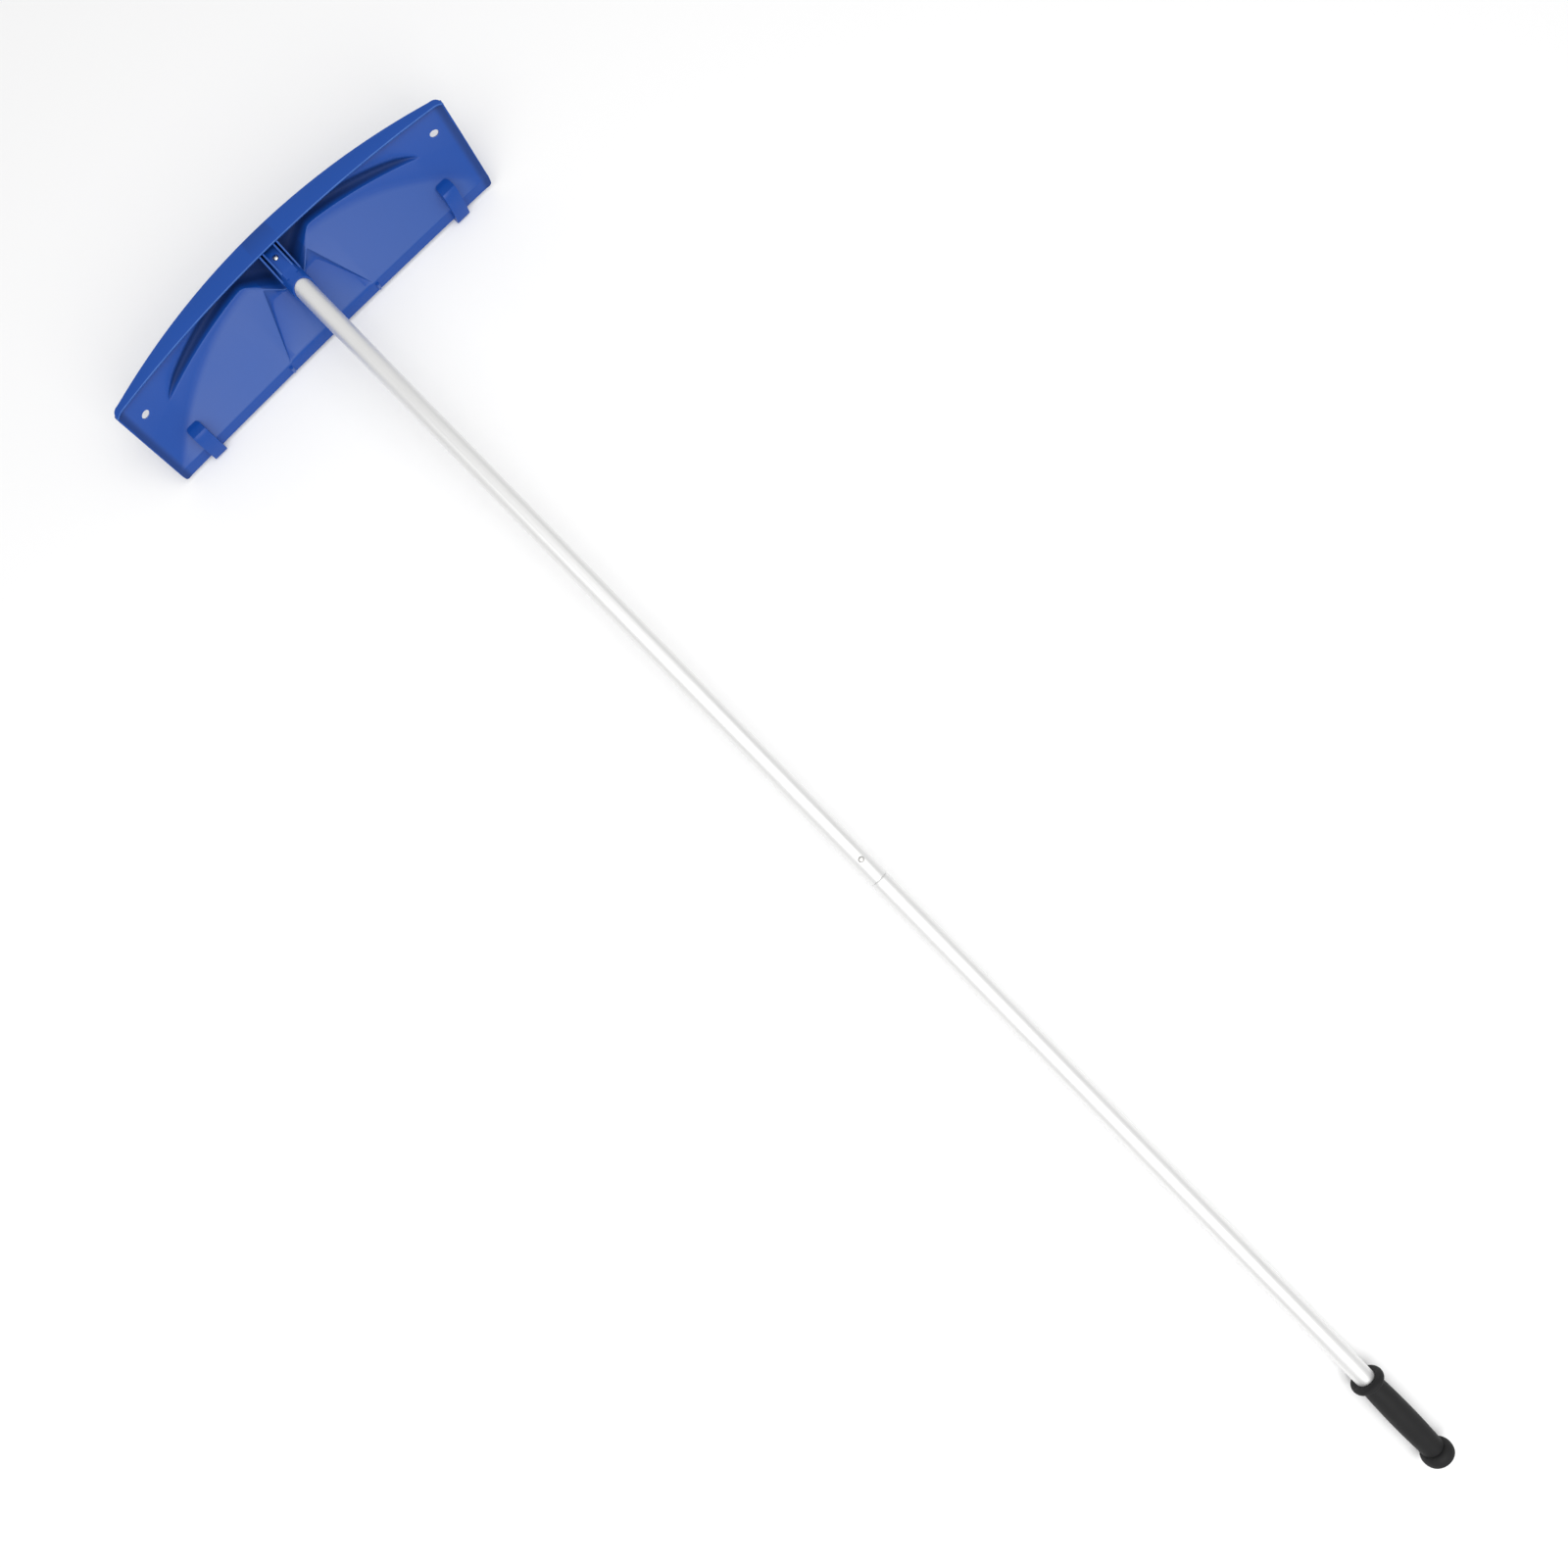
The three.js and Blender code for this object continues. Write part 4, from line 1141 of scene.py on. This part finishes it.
def blade_solid(material):
    """The whole moulding in the pole's frame."""
    rule = BladeRule()
    shell = blade_shell(rule)
    parts = [blade_flange(rule)] + socket_parts(rule, material) + edge_parts(rule, material)
    combine(shell, parts, "UNION")
    combine(shell, pole_cuts(rule, material) + hang_holes(rule, material), "DIFFERENCE")
    return shell, rule


def edge_lines(mesh, width, degrees):
    """Marks the narrow faces of rounded convex edges, for the painted edge highlights of the plastic."""
    work = bmesh.new()
    work.from_mesh(mesh)
    values = []
    for face in work.faces:
        lengths = [edge.calc_length() for edge in face.edges]
        across = face.calc_area() / max(lengths)
        turns = [edge.calc_face_angle_signed(0) * length for edge, length in zip(face.edges, lengths)]
        bend = sum(turns) / sum(lengths)
        narrow = clamp(2 - across / width, 0, 1)
        values.append(narrow * clamp(bend / math.radians(degrees) - 0.75, 0, 1))
    work.free()
    attribute = mesh.attributes.new("edge_line", "FLOAT", "FACE")
    attribute.data.foreach_set("value", values)


def place_marks(mesh, rule):
    """Stores painted shade for points in the pockets, on the step walls and along the end rims, and painted
    sheen on the lower faces.
    """
    painted_shades, rubbed = [], []
    for vertex, normal in zip(mesh.vertices, mesh.vertex_normals):
        x, y, z = vertex.co
        across = abs(x)
        painted_shade = pale = 0.0
        if normal.vector.y + normal.vector.z > -0.3 and across < rule.half:
            fold = rule.fold_z(across)
            face_y = rule.face_y(across, z)
            below_flange = z < FLANGE_UNDER + 0.5
            # Painted shade inside the pockets, growing with the depth behind the plain wall.
            if rule.crease_z(across) - 7 < z and below_flange and across < POCKET_END * rule.wide:
                painted_shade = smooth_step((rule.plain_wall_y(across, z) - y) / PAINTED_SHADE_DEPTH)
            # Painted shade along the end rims, below the flange.
            if below_flange:
                in_rim = (across - rule.half + RIM_WIDTH + 2) / (RIM_WIDTH * 0.7)
                painted_shade = max(painted_shade, 0.7 * smooth_step(in_rim))
            # Painted sheen on the lower faces, fading towards the fold and the ends.
            on_face = LIP_Z - 1 < z < fold and abs(y - face_y - rule.rim_turn(across)) < 1
            if on_face and across < rule.half - RIM_WIDTH:
                to_end = (rule.half - RIM_WIDTH - across) / 25
                pale = smooth_step((fold + 2 - z) / 8) * smooth_step(to_end)
            # Painted shade on the walls of the steps round the recessed panel.
            stepped = rule.panel_edge_z(across) < z < rule.face_edge_z(across) and across < RECESS_FOOT_X
            if stepped and z > LIP_Z and 0.3 < face_y - y < 12:
                painted_shade = max(painted_shade, 0.4)
        painted_shades.append(painted_shade)
        rubbed.append(pale)
    for name, values in (("hollow", painted_shades), ("rubbed", rubbed)):
        attribute = mesh.attributes.new(name, "FLOAT", "POINT")
        attribute.data.foreach_set("value", values)


# ---------------------------------------------------------------- operators

TUBE_LIP, BUTTON_PLAY = 0.25, 0.4
GRIP_WALL, GRIP_SWELL, GRIP_CHAMFER = 2.0, 1.7, 0.6
RIM_PROUD, RIM_LENGTH = 7.7, 10.0
KNOB_PROUD, KNOB_LENGTH, KNOB_ROUND = 6.4, 17.0, 4.0
CLIP_GAP, CLIP_STEEL = 1.6, 0.8
RIVET_RADIUS, RIVET_HEAD, BUTTON_DOME, JOINT_BUTTON_PROUD = 1.7, 1.0, 1.6, 2.6
FLOOR_HALF = 9.0
KEY_OFFSET, KEY_SIZE, KEY_POWER = (0.25, 2.43, 1.75), (1.5, 1.5), 17
TOP_PLACE, TOP_TARGET, TOP_SIZE, TOP_POWER = (0.5, 0.2, 3.6), (0.1, 0.2, 0.0), (3.0, 8.0), 84
SURROUND_STRENGTH = 0.66
CAMERA_LENS, CAMERA_SHIFT, CAMERA_TILT = 27, (0.0459, 0.0455), math.radians(45.76)
CAMERA_PLACE = (141, 957, 1608)


class SNOWRAKE_OT_blade(bpy.types.Operator):
    """Makes the moulded blade"""

    bl_idname = "snow_rake.blade"
    bl_label = "Blade"

    def execute(self, context):
        material = plastic_material()
        blade, rule = blade_solid(material)
        blade.name = "Blade"
        blade.data.name = "Blade"
        place_marks(blade.data, rule)
        blade.data.transform(pole_to_row())
        edge_lines(blade.data, 0.0006, 12)
        smooth_by_angle(blade.data, 30)
        finish_piece(blade, material, "blade_plastic", RAKE, "blade")
        return {"FINISHED"}


class SNOWRAKE_OT_pole(bpy.types.Operator):
    """Makes the two sections of the pole"""

    bl_idname = "snow_rake.pole"
    bl_label = "Pole sections"

    def execute(self, context):
        material = aluminium_material()
        s = sizes()
        marks = pole_marks()
        outer = s.tube_diameter / 2
        bore = outer - s.tube_wall
        swage = bore - SWAGE_PLAY
        swage_bore = swage - s.tube_wall
        lip = TUBE_LIP
        start, seam = marks["head_start"], marks["seam"]
        head_profile = [
            (bore + lip, start), (outer - lip, start), (outer, start + lip),
            (outer, seam - lip * 1.6), (outer - lip * 0.6, seam - lip * 0.5), (outer - lip * 1.6, seam),
            (bore + lip, seam), (bore, seam - lip), (bore, start + lip), (bore + lip, start),
        ]
        shoulder = seam + CLEARANCE
        full = shoulder + s.swage_shoulder
        end = marks["handle_end"]
        tip = marks["swage_end"]
        handle_profile = [(swage_bore + lip, tip), (swage - lip, tip), (swage, tip + lip), (swage, shoulder)]
        for i in range(1, 13):
            angle = math.pi / 2 * i / 12
            handle_profile.append(
                (mix(swage, outer, math.sin(angle)), mix(full, shoulder, math.cos(angle))),
            )
        handle_profile += [
            (outer, end - lip), (outer - lip, end), (bore + lip, end), (bore, end - lip), (bore, full),
            (swage_bore, shoulder - 1), (swage_bore, tip + lip), (swage_bore + lip, tip),
        ]
        head = turned_object("Head_tube", head_profile, material, Matrix())
        handle = turned_object("Handle_tube", handle_profile, material, Matrix())
        button = s.button_diameter / 2
        self.drill(head, material, button + BUTTON_PLAY, HEAD_BUTTON_Y)
        self.drill(head, material, button + s.lock_play, marks["joint_button"])
        self.drill(handle, material, button + BUTTON_PLAY, marks["joint_button"])
        for tube, node in ((head, "head_tube"), (handle, "handle_tube")):
            tube.data.transform(pole_to_row())
            smooth_by_angle(tube.data, 30)
            finish_piece(tube, material, "tube_aluminium", RAKE, node)
        return {"FINISHED"}

    def drill(self, tube, material, radius, along):
        """A round hole through the upper side of a tube."""
        depth = sizes().tube_diameter
        profile = [(0, 0), (radius, 0), (radius, depth), (0, depth)]
        cut = turned_object("drill", profile, material, upright(along), 64)
        combine(tube, [cut], "DIFFERENCE")


class SNOWRAKE_OT_grip(bpy.types.Operator):
    """Makes the rubber grip with its rim and knob"""

    bl_idname = "snow_rake.grip"
    bl_label = "Grip"

    def execute(self, context):
        material = rubber_material()
        marks = pole_marks()
        start, end = marks["grip_start"], marks["grip_end"]
        bore = sizes().tube_diameter / 2 + CLEARANCE
        body = bore + GRIP_WALL
        knob = body + KNOB_PROUD
        body_start, body_end = start + RIM_LENGTH, end - KNOB_LENGTH
        profile = [(bore + GRIP_CHAMFER, start)]
        for i in range(0, 19):
            angle = math.pi * i / 18
            proud = RIM_PROUD * max(math.sin(angle), 0) ** 0.6
            profile.append((body + proud, start + RIM_LENGTH * (1 - math.cos(angle)) / 2))
        for i in range(1, 24):
            t = i / 24
            profile.append((body + GRIP_SWELL * math.sin(math.pi * t), mix(body_start, body_end, t)))
        for i in range(0, 13):
            angle = math.pi / 2 * i / 12
            along = body_end + KNOB_LENGTH * (1 - math.cos(angle)) / 2
            profile.append((body + KNOB_PROUD * math.sin(angle), along))
        for i in range(1, 13):
            angle = math.pi / 2 * i / 12
            along = end - KNOB_LENGTH * (1 - math.sin(angle)) / 2
            profile.append((knob - KNOB_ROUND * (1 - math.cos(angle)), along))
        inside = marks["handle_end"] + CLEARANCE
        profile += [(0, end), (0, inside), (bore, inside), (bore, start + GRIP_CHAMFER)]
        profile.append((bore + GRIP_CHAMFER, start))
        grip = turned_object("Grip", profile, material, pole_to_row())
        smooth_by_angle(grip.data, 35)
        finish_piece(grip, material, "grip_rubber", RAKE, "grip")
        return {"FINISHED"}


class SNOWRAKE_OT_buttons(bpy.types.Operator):
    """Makes the two domed buttons"""

    bl_idname = "snow_rake.buttons"
    bl_label = "Buttons"

    def execute(self, context):
        base = tuple(colours().nickel)
        material = steel_material("Nickel plate", base, 0.24, 500.0)
        s = sizes()
        bore = s.tube_diameter / 2 - s.tube_wall
        swage_bore = bore - SWAGE_PLAY - s.tube_wall
        pad_z = s.tube_diameter / 2 + SOCKET_PLAY + SOCKET_WALL + PAD_HEIGHT
        joint_top = s.tube_diameter / 2 + JOINT_BUTTON_PROUD
        joint_y = pole_marks()["joint_button"]
        self.button("Head_button", "head_button", bore, pad_z, HEAD_BUTTON_Y, material)
        self.button("Joint_button", "joint_button", swage_bore, joint_top, joint_y, material)
        return {"FINISHED"}

    def button(self, name, node, bore, top, along, material):
        """A domed button with a rivet tail."""
        radius = sizes().button_diameter / 2
        rivet, head = RIVET_RADIUS, RIVET_HEAD
        seat = bore - CLIP_GAP + CLEARANCE
        under = bore - CLIP_GAP - CLIP_STEEL - CLEARANCE
        profile = [
            (0, under - head), (rivet + head * 0.6, under - head), (rivet + head, under - head * 0.5),
            (rivet + head, under), (rivet, under), (rivet, seat), (radius - 0.2, seat), (radius, seat + 0.2),
        ]
        for i in range(13):
            angle = math.pi / 2 * i / 12
            profile.append((radius * math.cos(angle), top - BUTTON_DOME * (1 - math.sin(angle))))
        obj = turned_object(name, profile, material, pole_to_row() @ upright(along), 64)
        smooth_by_angle(obj.data, 35)
        finish_piece(obj, material, "button_steel", node, node)


class SNOWRAKE_OT_clips(bpy.types.Operator):
    """Finishes the two leaf springs inside the tubes"""

    bl_idname = "snow_rake.clips"
    bl_label = "Spring clips"

    def execute(self, context):
        base = tuple(colours().spring_steel)
        material = steel_material("Spring steel", base, 0.38, 1200.0)
        for node in ("head_spring_clip", "joint_spring_clip"):
            clip = frame["nodes"][node]
            clip.data.materials.clear()
            clip.data.materials.append(material)
        return {"FINISHED"}


class SNOWRAKE_OT_stage(bpy.types.Operator):
    """Makes the floor, the lights and the camera"""

    bl_idname = "snow_rake.stage"
    bl_label = "Stage"

    def execute(self, context):
        scene = context.scene
        low = CAD_BOX[0][2]
        ends = ((-1, -1), (1, -1), (1, 1), (-1, 1))
        mesh = mesh_from("Floor", [(FLOOR_HALF * x, FLOOR_HALF * y, low) for x, y in ends], [[0, 1, 2, 3]])
        floor = new_object("Floor", mesh)
        mesh.materials.append(floor_material())
        self.world(scene)
        place = pole_to_row()
        blade_middle = place.to_translation()
        self.soft_light("Key light", blade_middle + Vector(KEY_OFFSET), blade_middle, KEY_SIZE, KEY_POWER)
        self.soft_light("Top light", Vector(TOP_PLACE), Vector(TOP_TARGET), TOP_SIZE, TOP_POWER)
        self.camera(scene, place)
        return {"FINISHED"}

    def world(self, scene):
        """Even pale surroundings."""
        world = bpy.data.worlds.new("Studio")
        scene.world = world
        world.use_nodes = True
        background = world.node_tree.nodes["Background"]
        background.inputs["Color"].default_value = (1.0, 1.0, 1.0, 1.0)
        background.inputs["Strength"].default_value = SURROUND_STRENGTH
        scene.view_settings.view_transform = "Standard"

    def soft_light(self, name, place, target, size, power):
        """A large area light that looks at a point."""
        data = bpy.data.lights.new(name, "AREA")
        data.shape = "RECTANGLE"
        data.size, data.size_y = size
        data.energy = power
        light = bpy.data.objects.new(name, data)
        bpy.context.scene.collection.objects.link(light)
        light.location = place
        light.rotation_euler = (target - place).to_track_quat("-Z", "Y").to_euler()

    def camera(self, scene, place):
        """Looks square at the pole, with the pole running from the upper left to the lower right."""
        data = bpy.data.cameras.new("Camera")
        data.sensor_width = 36
        data.lens = CAMERA_LENS
        data.shift_x, data.shift_y = CAMERA_SHIFT
        data.clip_end = 60
        camera = bpy.data.objects.new("Camera", data)
        scene.collection.objects.link(camera)
        away = (place.to_3x3() @ Vector((0, 0, 1))).normalized()
        across = (place.to_3x3() @ Vector((1, 0, 0))).normalized()
        along = (place.to_3x3() @ Vector((0, 1, 0))).normalized()
        up = -across * math.cos(CAMERA_TILT) - along * math.sin(CAMERA_TILT)
        right = up.cross(away)
        turn = Matrix((right, up, away)).transposed()
        camera.matrix_world = Matrix.Translation(place @ Vector(CAMERA_PLACE)) @ turn.to_4x4()
        scene.camera = camera


class SNOWRAKE_PT_panel(bpy.types.Panel):
    """Sizes, colours and pieces of the rake"""

    bl_idname = "SNOWRAKE_PT_panel"
    bl_label = "Snow rake"
    bl_space_type = "VIEW_3D"
    bl_region_type = "UI"
    bl_category = "Snow rake"

    def draw(self, context):
        layout = self.layout
        for group in (sizes(), colours()):
            box = layout.box()
            for name in group.__annotations__:
                box.prop(group, name)
        column = layout.column()
        for operator in OPERATORS:
            column.operator(operator.bl_idname)


OPERATORS = (
    SNOWRAKE_OT_blade,
    SNOWRAKE_OT_pole,
    SNOWRAKE_OT_grip,
    SNOWRAKE_OT_buttons,
    SNOWRAKE_OT_clips,
    SNOWRAKE_OT_stage,
)
CLASSES = (SnowRakeSizes, SnowRakeColours) + OPERATORS + (SNOWRAKE_PT_panel,)


def register():
    """Registers the classes and the scene's settings."""
    for cls in CLASSES:
        bpy.utils.register_class(cls)
    bpy.types.Scene.snow_rake_sizes = PointerProperty(type=SnowRakeSizes)
    bpy.types.Scene.snow_rake_colours = PointerProperty(type=SnowRakeColours)


def unregister():
    """Removes them again."""
    del bpy.types.Scene.snow_rake_colours
    del bpy.types.Scene.snow_rake_sizes
    for cls in reversed(CLASSES):
        bpy.utils.unregister_class(cls)


def main():
    """Builds every piece in order."""
    register()
    bpy.ops.snow_rake.blade()
    bpy.ops.snow_rake.pole()
    bpy.ops.snow_rake.grip()
    bpy.ops.snow_rake.buttons()
    bpy.ops.snow_rake.clips()
    bpy.ops.snow_rake.stage()
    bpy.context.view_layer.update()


if __name__ == "__main__":
    main()
